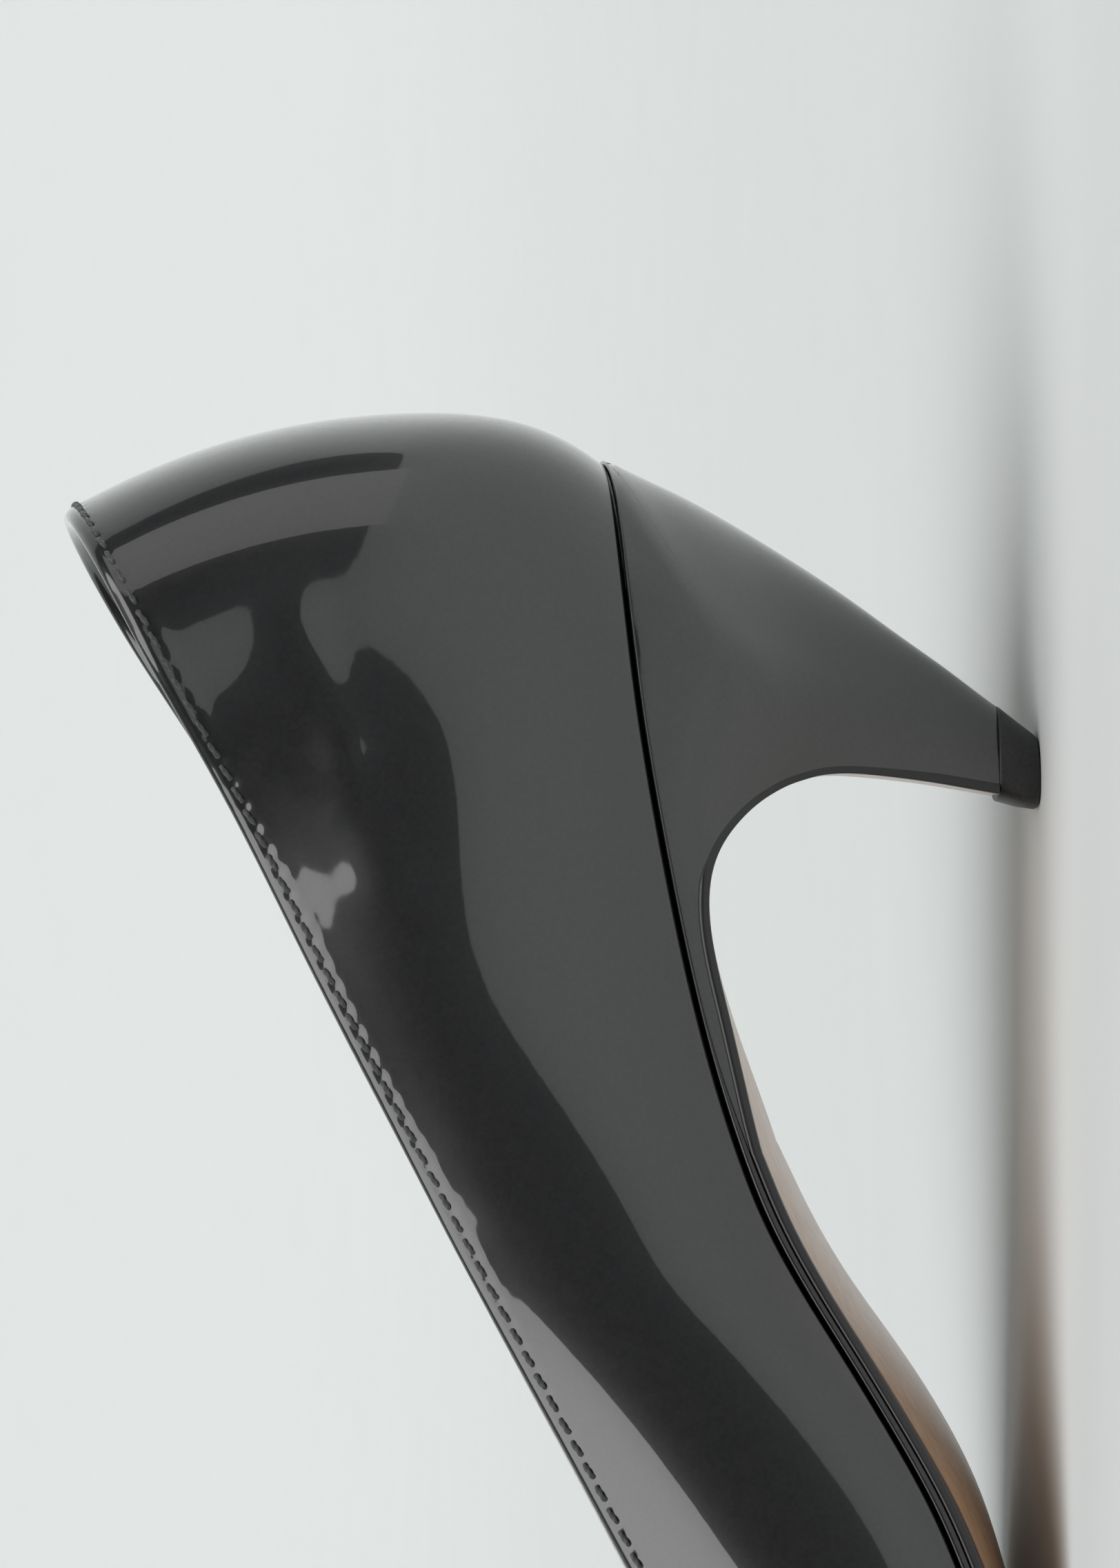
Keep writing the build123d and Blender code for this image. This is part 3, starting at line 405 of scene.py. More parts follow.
def stitch_places():
    """Centres and frames of the stitches, evenly spaced along both sides."""
    numbers, thetas = rim_path(STITCH_DROP, 1500)
    p, along, out, up = rim_frames(numbers, thetas)
    run = np.concatenate([[0], np.cumsum(np.linalg.norm(np.diff(p, axis=0), axis=1))])
    count = int(run[-1] / STITCH_PITCH)
    wanted = (np.arange(count) + 0.5) * run[-1] / count
    pick = [np.stack([np.interp(wanted, run, a[:, k]) for k in range(3)], 1) for a in (p, along, out, up)]
    return pick


ST_P, ST_A, ST_N, ST_U = stitch_places()
HOLES = np.concatenate([ST_P - ST_A * STITCH_LENGTH * 0.5, ST_P + ST_A * STITCH_LENGTH * 0.5])

HOLE_DEPTH, HOLE_WIDTH = 0.13, 0.38       # dent at each needle hole
SWELL_HEIGHT, SWELL_WIDTH = 0.03, 1.1     # leather pushed up round it

# Soft creases of the inner quarter: run from (x, z) to (x, z), half width, height.
CREASES = ((-17, 86, -2, 81, 2.0, 0.16), (-2, 81, 12, 76.5, 2.4, 0.20), (12, 76.5, 50, 64.5, 3.4, 0.09),
           (0, 90, 4, 82, 1.8, 0.12), (46, 70, 52, 58, 2.2, 0.10), (-24, 84, -14, 92, 4.0, -0.10))


def relief(points):
    """Small height changes of the leather: pull of the stitches, creases, lasting waves."""
    height = np.zeros(points.shape[:-1])
    x, y, z = points[..., 0], points[..., 1], points[..., 2]
    for x0, z0, x1, z1, width, size in CREASES:
        dx, dz = x1 - x0, z1 - z0
        t = np.clip(((x - x0) * dx + (z - z0) * dz) / (dx * dx + dz * dz), 0, 1)
        d2 = (x - x0 - t * dx) ** 2 + (z - z0 - t * dz) ** 2
        height += size * np.exp(-d2 / (2 * width * width)) * (y > 0)
    for scale, size, phase in ((17.0, 0.010, 0.4), (29.0, 0.016, 2.1), (11.0, 0.004, 4.0)):
        height += size * np.sin(x / scale * 2.3 + phase + 0.7 * np.sin(z / scale)) \
            * np.sin(z / scale * 2.0 + 1.7 * phase)
    near = z > TOPLINE(x) - TOPLINE_DROP(x) - 6.5
    index = np.nonzero(near.ravel())[0]
    flat = points.reshape(-1, 3)
    pull = np.zeros(len(flat))
    for part in np.array_split(index, max(1, len(index) // 4000)):
        d2 = ((flat[part][:, None, :] - HOLES[None]) ** 2).sum(-1)
        dent = HOLE_DEPTH * np.exp(-d2 / (2 * HOLE_WIDTH ** 2))
        swell = SWELL_HEIGHT * np.exp(-d2 / (2 * SWELL_WIDTH ** 2))
        pull[part] = (-dent).sum(1) + swell.sum(1)
    return height + pull.reshape(height.shape)


# ---------------------------------------------------------------- pieces
def upper_skin():
    """Outer leather: lasted wall, rounded in at the sole edge and folded over at the topline."""
    numbers = joined(graded(BACK + 0.004, SEAT, 80), graded(SEAT, THROAT, 470),
                     graded(THROAT, TOE_TIP - 0.02, 150))
    rows = []
    tuck = np.array([0.0, 0.7, 1.6, 3.0])
    for side in (1, -1):
        theta, run, total = wall_rows(numbers, side, FOLD_R, 0.0, 0.0, THROAT, SEAT)
        p = surface(numbers[:, None], side * theta)
        n = normal(numbers[:, None], side * theta)
        s = np.where((numbers > SEAT)[:, None], run, 9.0)
        fade = np.clip((numbers - SEAT) / 0.8, 0, 1)[:, None]
        r = 0.9
        bend = (r - np.sqrt(np.maximum(r * r - np.maximum(r - s, 0) ** 2, 0))) * fade
        edge = np.clip((total - run) / 2.0, 0, 1)
        near_rim = edge * edge * (3 - 2 * edge) * 0.75 + 0.25
        lift = relief(p) * np.where(numbers[:, None] >= THROAT, 1, near_rim)
        p = p + n * (lift - bend)[..., None]
        rows.append(p)
    faces, points = [], []
    start = 0
    for side, p in zip((1, -1), rows):
        nu, nv = p.shape[:2]
        points.append(p.reshape(-1, 3))
        faces.append(grid_faces(nu, nv, flip=side < 0, start=start))
        start += nu * nv
    # inward tuck below the feather edge
    for side, p in zip((1, -1), rows):
        keep = numbers >= SEAT
        base = p[keep][:, 0]
        centre = np.stack([base[:, 0], SHIFT(base[:, 0]), base[:, 2]], -1)
        inward = centre - base
        reach = np.linalg.norm(inward, axis=1, keepdims=True)
        inward = inward / np.maximum(reach, 1e-6)
        strip = base[:, None] + inward[:, None] * np.minimum(tuck[None, :, None], 0.8 * reach[:, None])
        strip[..., 2] = np.where(tuck[None] > 0, ground(strip[..., 0], strip[..., 1]) + 0.03, strip[..., 2])
        points.append(strip.reshape(-1, 3))
        faces.append(grid_faces(strip.shape[0], len(tuck), flip=side > 0, start=start))
        start += strip.shape[0] * len(tuck)
    # folded edge
    is_open = numbers < THROAT
    open_numbers = numbers[is_open]
    path_n = np.concatenate([open_numbers[::-1], open_numbers])
    inner, outer = rows[0][is_open][:, -1][::-1], rows[1][is_open][:, -1]
    th_in = rim_theta(open_numbers, 1, FOLD_R)[::-1]
    th_out = -rim_theta(open_numbers, -1, FOLD_R)
    path_t = np.concatenate([th_in, th_out])
    _, along, out, up = rim_frames(path_n, path_t)
    base = np.concatenate([inner, outer])
    stretch = np.clip(1 / np.maximum(up[:, 2:3], 0.5), 1, 1.8)
    angles = np.linspace(0, np.pi, 13)
    fold = base[:, None] + FOLD_R * (np.cos(angles)[None, :, None] - 1) * out[:, None] \
        + FOLD_R * np.sin(angles)[None, :, None] * (up * stretch)[:, None]
    tail = fold[:, -1:] - up[:, None] * np.array([0.8, 2.2])[None, :, None]
    fold = np.concatenate([fold, tail], 1)
    points.append(fold.reshape(-1, 3))
    faces.append(grid_faces(fold.shape[0], fold.shape[1], close_u=True, start=start))
    obj = make_mesh("upper_skin", np.concatenate(points), np.concatenate(faces))
    weld(obj)
    return obj


def layer_skin(name, first, last, drop, rise, depth, columns_round=0.5):
    """Inner skin of a layer from one section number to another, top edge rolled outward."""
    throat, seat = throat_edge(drop), seat_edge(rise, depth)
    back = back_edge(drop, depth) + 0.01
    marks = [max(first, back)] + [m for m in (seat, throat) if max(first, back) + 1 < m < last - 1] + [last]
    runs = [graded(a, b, max(12, int((b - a) / 0.7))) for a, b in zip(marks, marks[1:])]
    numbers = joined(*runs)
    points, faces, start = [], [], 0
    for side in (1, -1):
        theta, run, total = wall_rows(numbers, side, drop, rise, depth, throat, seat)
        edge = np.minimum(total - run, np.where((numbers > seat)[:, None], run, 9.0))
        edge = np.where(numbers[:, None] >= throat, np.where((numbers > seat)[:, None], run, 9.0), edge)
        ends = np.minimum(numbers - first, last - numbers)[:, None] if columns_round else 9.0
        near = np.clip(np.minimum(edge, np.maximum(ends, 0)) / max(columns_round, 1e-6), 0, 1)
        roll = columns_round * (1 - np.sqrt(np.maximum(1 - (1 - near) ** 2, 0)))
        out = normal(numbers[:, None], side * theta)
        p = surface(numbers[:, None], side * theta) - out * (depth - roll)[..., None]
        points.append(p.reshape(-1, 3))
        faces.append(grid_faces(p.shape[0], p.shape[1], flip=side > 0, start=start))
        start += p.shape[0] * p.shape[1]
    obj = make_mesh(name, np.concatenate(points), np.concatenate(faces))
    weld(obj)
    return obj


def edge_pairs(numbers, rise, depth):
    """Inner side and outer side edge points of a layer on a raised feather plane."""
    pair = []
    for side in (1, -1):
        theta = feather_theta(numbers, side, rise, depth)
        pair.append(layer(numbers, side * theta, depth))
    return pair


def plan_out(points, side):
    """Outward horizontal directions along one side's edge, toe-ward points given in order."""
    d = np.gradient(points[:, :2], axis=0)
    d /= np.maximum(np.linalg.norm(d, axis=1, keepdims=True), 1e-9)
    return np.stack([-d[:, 1] * side, d[:, 0] * side], 1)


EDGE_NUMBERS = joined(graded(SEAT + 0.002, 30, 110), graded(30, 150, 150), graded(150, TOE_TIP - 0.01, 120))
EDGE_IN, EDGE_OUT = edge_pairs(EDGE_NUMBERS, 0.0, 0.0)
OUT_IN, OUT_OUT = plan_out(EDGE_IN, 1), plan_out(EDGE_OUT, -1)
OUT_IN[0] = OUT_OUT[0] = (-1, 0)
OUT_IN[-1] = OUT_OUT[-1] = (1, 0)


def edge_y(x, side):
    """Sideways place of the sole edge along the shoe."""
    edge = EDGE_IN if side > 0 else EDGE_OUT
    return np.interp(x, edge[:, 0], edge[:, 1])


def band(name, profile, bottom):
    """Closed strip round the sole edge; profile gives (outward, share of depth, extra height)."""
    loop = np.concatenate([EDGE_IN, EDGE_OUT[::-1][1:-1]])
    out = np.concatenate([OUT_IN, OUT_OUT[::-1][1:-1]])
    rows = []
    for outward, share, extra in profile:
        xy = loop[:, :2] + out * outward
        z = ground(xy[:, 0], xy[:, 1]) + share * bottom(xy[:, 0]) + extra
        rows.append(np.column_stack([xy, z]))
    p = np.stack(rows, 1)
    faces = grid_faces(p.shape[0], p.shape[1], close_u=True, close_v=True, flip=True)
    obj = make_mesh(name, p.reshape(-1, 3), faces)
    weld(obj)
    return obj


RAND_PROFILE = ((-2.2, 0, -0.1), (-0.2, 0, -0.1), (0.1, 0.0, -0.12), (0.26, 0.03, -0.16), (0.35, 0.16, -0.16),
                (0.38, 0.5, -0.06), (0.35, 0.82, 0.02), (0.24, 0.97, 0.04), (0.05, 1.0, 0.02),
                (-2.2, 1.0, 0.02))


STATIONS = np.array((
    (FLAP_X, FEATHER_Z(FLAP_X) + rand_drop(FLAP_X) - SOLE, FLAP_X, 42.0, 23.4, 23.4, 6.0),
    (35.2, 32.8, 37.5, 44.0, 23.4, 23.4, 6.0), (27.3, 35.3, 29.0, 47.0, 23.4, 23.4, 6.0),
    (19.4, 37.6, 19.8, 50.0, 23.3, 23.4, 6.0), (14.0, 38.3, 11.5, 52.5, 22.9, 23.5, 6.0),
    (9.8, 37.6, 2.0, 54.0, 21.6, 23.5, 6.0), (6.3, 35.5, -9.0, 55.0, 19.4, 23.6, 5.5),
    (3.7, 32.8, -20.0, 55.0, 17.0, 23.6, 5.0), (2.1, 30.2, -30.0, 53.6, 15.0, 23.5, 4.2),
    (1.4, 28.5, -35.5, 50.8, 13.9, 22.8, 2.8), (0.9, 26.9, -34.6, 47.6, 12.9, 21.4, 2.5),
    (0.55, 25.2, -31.9, 41.8, 12.0, 18.6, 2.4), (0.4, 23.0, -28.4, 35.3, 10.9, 15.4, 2.3),
    (0.5, 20.4, -24.6, 29.0, 9.7, 12.6, 2.3), (0.8, 17.2, -20.3, 22.4, 8.4, 10.2, 2.3),
    (1.2, 13.9, -16.0, 16.4, 7.3, 8.3, 2.3), (1.7, 10.6, -11.8, 10.5, 6.4, 6.9, 2.3),
    (2.6, 5.3, -7.9, 5.3, 5.3, 5.5, 2.3), (3.1, 2.0, -5.6, 1.9, 4.8, 4.9, 2.3)), float)
STEPS = 0.5 * (np.linalg.norm(np.diff(STATIONS[:, :2], axis=0), axis=1)
               + np.linalg.norm(np.diff(STATIONS[:, 2:4], axis=0), axis=1))
ALONG = np.concatenate([[0], np.cumsum(STEPS)])
STATION = [curve(*zip(ALONG, STATIONS[:, k])) for k in range(7)]
LIFT_RUN = float(np.interp(-(LIFT_TOP + 0.02), -STATIONS[8:, 1], ALONG[8:]))


def tilt(x, v):
    return np.where(x > 0, ROLL(x) * v + BOW(x) * v * v, 0.0006 * v * v)


def station_frame(s):
    fx, fz, bx, bz = [STATION[k](s) for k in range(4)]
    length = np.hypot(bx - fx, bz - fz)
    return fx, fz, (bx - fx) / length, (bz - fz) / length, length


def heel_point(s, t, side):
    """Point of the heel covering: s down the heel, t from the flap to the back."""
    fx, fz, ux, uz, length = station_frame(s)
    front, widest, power = STATION[4](s), STATION[5](s), STATION[6](s)
    u0 = SOLE / 2
    bulge = np.sin(0.5 * np.pi * np.minimum(1, t / 0.45))
    v = side * (front + (widest - front) * bulge) * np.maximum(1 - t ** power, 0) ** (1 / power)
    u = t * (length - u0) + u0 + tilt(fx, v) * (1 - t)
    x, z = fx + ux * u, fz + uz * u
    limit = np.abs(edge_y(x, side))
    k = 0.22
    a = np.abs(v)
    m = np.minimum(a, limit)
    a = m - k * np.log(np.exp(-(a - m) / k) + np.exp(-(limit - m) / k)) * (limit > 0.4)
    return np.stack([x, side * np.maximum(a, 0) * (t < 0.99999), z], -1)


def heel_end(s, side):
    """Largest t below the rand, for each s."""
    lo, hi = np.zeros(len(s)), np.ones(len(s))
    p = heel_point(s, hi, side)
    whole = p[:, 2] < ground(p[:, 0], p[:, 1]) + rand_drop(p[:, 0])
    for _ in range(34):
        mid = 0.5 * (lo + hi)
        p = heel_point(s, mid, side)
        under = p[:, 2] < ground(p[:, 0], p[:, 1]) + rand_drop(p[:, 0])
        lo, hi = np.where(under, mid, lo), np.where(under, hi, mid)
    return np.where(whole, 1.0, lo), whole


def heel_cover_skin():
    """Covering leather of the heel, two sides welded along the back."""
    probe = np.linspace(0, LIFT_RUN, 2400)
    _, whole = heel_end(probe, 1)
    turn = probe[np.argmax(whole)]
    s = joined(graded(0.01, turn, 170), graded(turn, LIFT_RUN, 120))
    f = np.linspace(0, 1, 64)
    points, faces, start = [], [], 0
    for side in (1, -1):
        end, _ = heel_end(s, side)
        end = np.where(s >= turn, 1.0, end)
        share = np.where(s[:, None] >= turn, 1 - (1 - f) ** 1.9, f * (1 - 0.12) + 0.12 * f ** 2)
        mix = np.clip((end[:, None] - 0.8) / 0.2, 0, 1)
        share = share * mix + f[None] * (1 - mix)
        t = end[:, None] * share
        p = heel_point(s[:, None], t, side)
        points.append(p.reshape(-1, 3))
        faces.append(grid_faces(len(s), len(f), flip=side < 0, start=start))
        start += len(s) * len(f)
    obj = make_mesh("heel_cover_skin", np.concatenate(points), np.concatenate(faces))
    weld(obj)
    return obj


def outsole_leather():
    """Sole and heel flap in one leather: rows of closed loops from the toe to the top lift."""
    keep = (EDGE_IN[:, 0] >= FLAP_X)
    order = np.nonzero(keep)[0][::-1]
    cols = 30
    edge = ((-0.5, 0.0), (0.15, 0.02), (0.3, 0.12), (0.36, 0.35), (0.36, 0.65), (0.3, 0.88),
            (0.12, 0.98), (-0.6, 1.0))
    rows, paint = [], []
    across = np.linspace(0, 1, cols)[1:-1]
    for i in order:
        m, l, om, ol = EDGE_IN[i], EDGE_OUT[i], OUT_IN[i], OUT_OUT[i]
        top_m = [np.append(m[:2] + om * o, h) for o, h in edge]
        top_l = [np.append(l[:2] + ol * o, h) for o, h in edge]
        under = [top_m[-1] * (1 - c) + top_l[-1] * c for c in across]
        over = [top_l[0] * (1 - c) + top_m[0] * c for c in across]
        loop = np.array(top_m + under + top_l[::-1] + over)
        z = ground(loop[:, 0], loop[:, 1]) + rand_drop(loop[:, 0]) - 0.04 - loop[:, 2] * SOLE
        rows.append(np.column_stack([loop[:, :2], np.maximum(z, 0.0)]))
    for s in graded(0.02, LIFT_RUN + 0.05, 120):
        fx, fz, ux, uz, _ = station_frame(s)
        w = min(float(STATION[4](s)) + 0.15, float(edge_y(fx, 1)) + PROUD) - 0.36
        w2 = min(float(STATION[4](s)) + 0.15, -float(edge_y(fx, -1)) + PROUD) - 0.36
        side_in = [(w + o, h) for o, h in edge]
        side_out = [(-w2 - o, h) for o, h in edge]
        under = [(side_in[-1][0] * (1 - c) + side_out[-1][0] * c, 1.0) for c in across]
        over = [(side_out[0][0] * (1 - c) + side_in[0][0] * c, 0.0) for c in across]
        loop = np.array(side_in + under + side_out[::-1] + over)
        u = SOLE * (1 - loop[:, 1]) + tilt(fx, loop[:, 0])
        rows.append(np.column_stack([fx + ux * u, loop[:, 0], fz + uz * u]))
    ring = len(rows[0])
    p = np.array(rows)
    tone = np.zeros(ring)
    n_edge = len(edge)
    tone[:n_edge] = 1
    tone[n_edge + len(across):2 * n_edge + len(across)] = 1
    tone[n_edge - 1] = tone[n_edge + len(across)] = 0.75
    tone = np.tile(tone, len(rows))
    caps = p[[0, -1]].mean(1)
    points = np.concatenate([p.reshape(-1, 3), caps])
    faces = grid_faces(len(rows), ring, close_v=True).tolist()
    for k, row in enumerate((0, len(rows) - 1)):
        hub = len(points) - 2 + k
        for j in range(ring):
            a, b = row * ring + j, row * ring + (j + 1) % ring
            faces.append([a, b, hub] if k == 0 else [b, a, hub])
    obj = make_mesh("outsole_leather", points, faces, {"paint": np.append(tone, [0, 0])})
    weld(obj)
    return obj


def top_lift_rubber():
    """Heel tip: D shaped, bevelled at the ground, standing slightly proud in front."""
    levels = ((0.0, 3.75, -3.6, 4.05), (0.12, 4.05, -3.95, 4.4), (0.45, 4.3, -4.3, 4.75),
              (2.3, 4.05, -5.7, 5.25), (4.55, 3.45, -7.45, 5.55), (4.82, 3.36, -7.55, 5.55),
              (LIFT_TOP, 3.1, -7.35, 5.35))
    count = 96
    rows = []
    for z, front, back, half in levels:
        centre = front - 0.38 * (front - back)
        a = np.linspace(0, 2 * np.pi, count, endpoint=False)
        c, s = np.cos(a), np.sin(a)
        squash = np.where(c > 0, 3.4, 2.15)
        x = centre + np.where(c > 0, front - centre, centre - back) * np.sign(c) * np.abs(c) ** (2 / squash)
        y = half * np.sign(s) * np.abs(s) ** (2 / np.where(c > 0, 2.4, 2.15))
        rows.append(np.column_stack([x, y, np.full(count, z)]))
    p = np.array(rows)
    points = np.concatenate([p.reshape(-1, 3), [(0, 0, 0)], [(-2, 0, LIFT_TOP)]])
    faces = grid_faces(len(rows), count, close_v=True, flip=True).tolist()
    for k, row in enumerate((0, len(rows) - 1)):
        for j in range(count):
            a, b = row * count + j, row * count + (j + 1) % count
            faces.append([a, b, len(points) - 2 + k] if k == 1 else [b, a, len(points) - 2 + k])
    obj = make_mesh("top_lift_rubber", points, faces)
    weld(obj)
    return obj


def topline_thread():
    """Twisted two-ply stitches, ends dipping into the leather."""
    ring, rows = 12, 15
    points, faces, start = [], [], 0
    w = np.linspace(-1, 1, rows)
    phi = np.linspace(0, 2 * np.pi, ring, endpoint=False)
    for k in range(len(ST_P)):
        lean = 0.13 + RNG.normal(0, 0.03)
        a = ST_A[k] * math.cos(lean) + ST_U[k] * math.sin(lean)
        b = np.cross(ST_N[k], a)
        size = STITCH_R * (1 + RNG.normal(0, 0.03))
        height = size * (0.62 - 1.55 * np.abs(w) ** 5)
        centre = ST_P[k] + a * (w * STITCH_LENGTH * 0.5)[:, None] + ST_N[k] * height[:, None]
        twist = phi[None] - 3.4 * w[:, None] + RNG.uniform(0, 6.28)
        r = size * (1 + 0.17 * np.cos(2 * twist)) * np.sqrt(np.maximum(1 - np.abs(w) ** 9, 0.02))[:, None]
        around = np.cos(phi)[None, :, None] * b + np.sin(phi)[None, :, None] * ST_N[k]
        p = centre[:, None] + r[..., None] * around
        points.append(p.reshape(-1, 3))
        faces += grid_faces(rows, ring, close_v=True, start=start).tolist()
        last = start + (rows - 1) * ring
        faces += [list(range(start, start + ring)), list(range(last, last + ring))[::-1]]
        start += rows * ring
    obj = make_mesh("topline_thread", np.concatenate(points), faces)
    return obj


def sock_pad():
    """Sock lining over its foam, a soft closed pad filling the bottom of the shoe."""
    rise = INSOLE_TOP + 1.0
    first = seat_edge(rise, LINING_IN + 0.3) + 0.02
    numbers = joined(graded(first, 40, 70), graded(40, SOCK_FRONT, 120))
    inner, outer = edge_pairs(numbers, rise, LINING_IN + 0.3)
    cols = 36
    f = graded(0, 1, cols)
    rows = []
    for m, l in zip(inner, outer):
        xy = m[None, :2] * (1 - f[:, None]) + l[None, :2] * f[:, None]
        width = np.linalg.norm(m[:2] - l[:2])
        d = np.minimum(f, 1 - f) * width
        near = np.clip(d / 1.6, 0, 1)
        shoulder = 0.9 * (1 - np.sqrt(np.maximum(1 - (1 - near) ** 2, 0)))
        crown = 0.35 * np.sin(np.pi * f) * min(width / 50, 1)
        base = ground(xy[:, 0], xy[:, 1]) + INSOLE_TOP
        top = base + cushion_rise(xy[:, 0]) + SOCK - shoulder + crown
        low = base + 0.05
        rows.append(np.concatenate([np.column_stack([xy, top]), np.column_stack([xy, low])[::-1]]))
    p = np.array(rows)
    ring = p.shape[1]
    points = np.concatenate([p.reshape(-1, 3), p[[0, -1]].mean(1)])
    faces = grid_faces(len(rows), ring, close_v=True).tolist()
    for k, row in enumerate((0, len(rows) - 1)):
        for j in range(ring):
            a, b = row * ring + j, row * ring + (j + 1) % ring
            faces.append([b, a, len(points) - 2 + k] if k == 0 else [a, b, len(points) - 2 + k])
    obj = make_mesh("sock_pad", points, faces)
    weld(obj)
    return obj


# ---------------------------------------------------------------- materials
def new_material(name):
    mat = bpy.data.materials.new(name)
    mat.use_nodes = True
    return mat, mat.node_tree.nodes, mat.node_tree.links, mat.node_tree.nodes["Principled BSDF"]


def noise(nodes, links, scale, detail=3.0, rough=0.55, stretch=None):
    """Noise in object space; scale is features per metre."""
    coord = nodes.new("ShaderNodeTexCoord")
    tex = nodes.new("ShaderNodeTexNoise")
    tex.inputs["Scale"].default_value = scale
    tex.inputs["Detail"].default_value = detail
    tex.inputs["Roughness"].default_value = rough
    source = coord.outputs["Object"]
    if stretch:
        mapping = nodes.new("ShaderNodeMapping")
        mapping.inputs["Scale"].default_value = stretch
        links.new(source, mapping.inputs["Vector"])
        source = mapping.outputs["Vector"]
    links.new(source, tex.inputs["Vector"])
    return tex


def ramp(nodes, links, source, stops):
    node = nodes.new("ShaderNodeValToRGB")
    while len(node.color_ramp.elements) < len(stops):
        node.color_ramp.elements.new(0.5)
    for element, (place, colour) in zip(node.color_ramp.elements, stops):
        element.position = place
        element.color = (*colour, 1)
    links.new(source, node.inputs["Fac"])
    return node


def add_bump(nodes, links, bsdf, source, strength, distance):
    bump = nodes.new("ShaderNodeBump")
    bump.inputs["Strength"].default_value = strength
    bump.inputs["Distance"].default_value = distance
    links.new(source, bump.inputs["Height"])
    previous = bsdf.inputs["Normal"].links
    if previous:
        links.new(previous[0].from_socket, bump.inputs["Normal"])
    links.new(bump.outputs["Normal"], bsdf.inputs["Normal"])


def surface_material(name, dark, light, rough, scale, bump=(0.2, 0.0001), coat=0.0, metallic=0.0,
                     sheen=0.0, stretch=None, detail=4.0, spread=(0.35, 0.65), spec=0.5):
    """Mottled material: colour between two tones, roughness about a value, fine relief."""
    mat, nodes, links, bsdf = new_material(name)
    tex = noise(nodes, links, scale, detail, stretch=stretch)
    tone = ramp(nodes, links, tex.outputs["Fac"], ((spread[0], dark), (spread[1], light)))
    links.new(tone.outputs["Color"], bsdf.inputs["Base Color"])
    wear = noise(nodes, links, scale * 0.31, 3.0)
    span = nodes.new("ShaderNodeMapRange")
    span.inputs["To Min"].default_value = rough * 0.85
    span.inputs["To Max"].default_value = min(rough * 1.15, 1)
    links.new(wear.outputs["Fac"], span.inputs["Value"])
    links.new(span.outputs["Result"], bsdf.inputs["Roughness"])
    bsdf.inputs["Coat Weight"].default_value = coat
    bsdf.inputs["Coat Roughness"].default_value = 0.08
    bsdf.inputs["Metallic"].default_value = metallic
    bsdf.inputs["Sheen Weight"].default_value = sheen
    bsdf.inputs["Specular IOR Level"].default_value = spec
    add_bump(nodes, links, bsdf, tex.outputs["Fac"], *bump)
    return mat


def patent_leather(name, pebble):
    """Black patent: faint grain under a thick clear coat with a slight orange peel."""
    mat = surface_material(name, (0.0085, 0.0085, 0.0093), (0.0145, 0.0142, 0.0152), 0.3, 1900,
                           bump=(0.06, 0.00004), coat=1.0)
    nodes, links = mat.node_tree.nodes, mat.node_tree.links
    bsdf = nodes["Principled BSDF"]
    bsdf.inputs["Coat Roughness"].default_value = 0.035
    bsdf.inputs["Coat IOR"].default_value = 1.66
    peel = noise(nodes, links, pebble, 2.0)
    bump = nodes.new("ShaderNodeBump")
    bump.inputs["Strength"].default_value = 0.05
    bump.inputs["Distance"].default_value = 0.00012
    links.new(peel.outputs["Fac"], bump.inputs["Height"])
    links.new(bump.outputs["Normal"], bsdf.inputs["Coat Normal"])
    return mat


def sole_material():
    """Tan sole leather whose edge is inked black, from the piece's paint value."""
    mat = surface_material("sole_leather", (0.42, 0.235, 0.125), (0.56, 0.34, 0.19), 0.36, 700,
                           bump=(0.12, 0.00006), coat=0.35, stretch=(0.35, 1.0, 1.0))
    nodes, links = mat.node_tree.nodes, mat.node_tree.links
    bsdf = nodes["Principled BSDF"]
    paint = nodes.new("ShaderNodeAttribute")
    paint.attribute_name = "paint"
    tone = bsdf.inputs["Base Color"].links[0].from_socket
    mix = nodes.new("ShaderNodeMix")
    mix.data_type = "RGBA"
    mix.inputs["B"].default_value = (0.011, 0.010, 0.011, 1)
    sharp = nodes.new("ShaderNodeMapRange")
    sharp.inputs["From Min"].default_value = 0.35
    sharp.inputs["From Max"].default_value = 0.6
    links.new(paint.outputs["Fac"], sharp.inputs["Value"])
    links.new(sharp.outputs["Result"], mix.inputs["Factor"])
    links.new(tone, mix.inputs["A"])
    links.new(mix.outputs["Result"], bsdf.inputs["Base Color"])
    return mat


def weave_material(name, dark, light, pitch):
    """Plain weave from two crossed wave patterns."""
    mat = surface_material(name, dark, light, 0.9, 1500, sheen=0.2)
    nodes, links = mat.node_tree.nodes, mat.node_tree.links
    bsdf = nodes["Principled BSDF"]
    waves = []
    for direction in ("X", "Z"):
        wave = nodes.new("ShaderNodeTexWave")
        wave.bands_direction = direction
        wave.inputs["Scale"].default_value = 1000 / pitch / 20
        coord = nodes.new("ShaderNodeTexCoord")
        links.new(coord.outputs["Object"], wave.inputs["Vector"])
        waves.append(wave)
    cross = nodes.new("ShaderNodeMath")
    cross.operation = "MAXIMUM"
    links.new(waves[0].outputs["Fac"], cross.inputs[0])
    links.new(waves[1].outputs["Fac"], cross.inputs[1])
    add_bump(nodes, links, bsdf, cross.outputs["Value"], 0.5, 0.0001)
    return mat


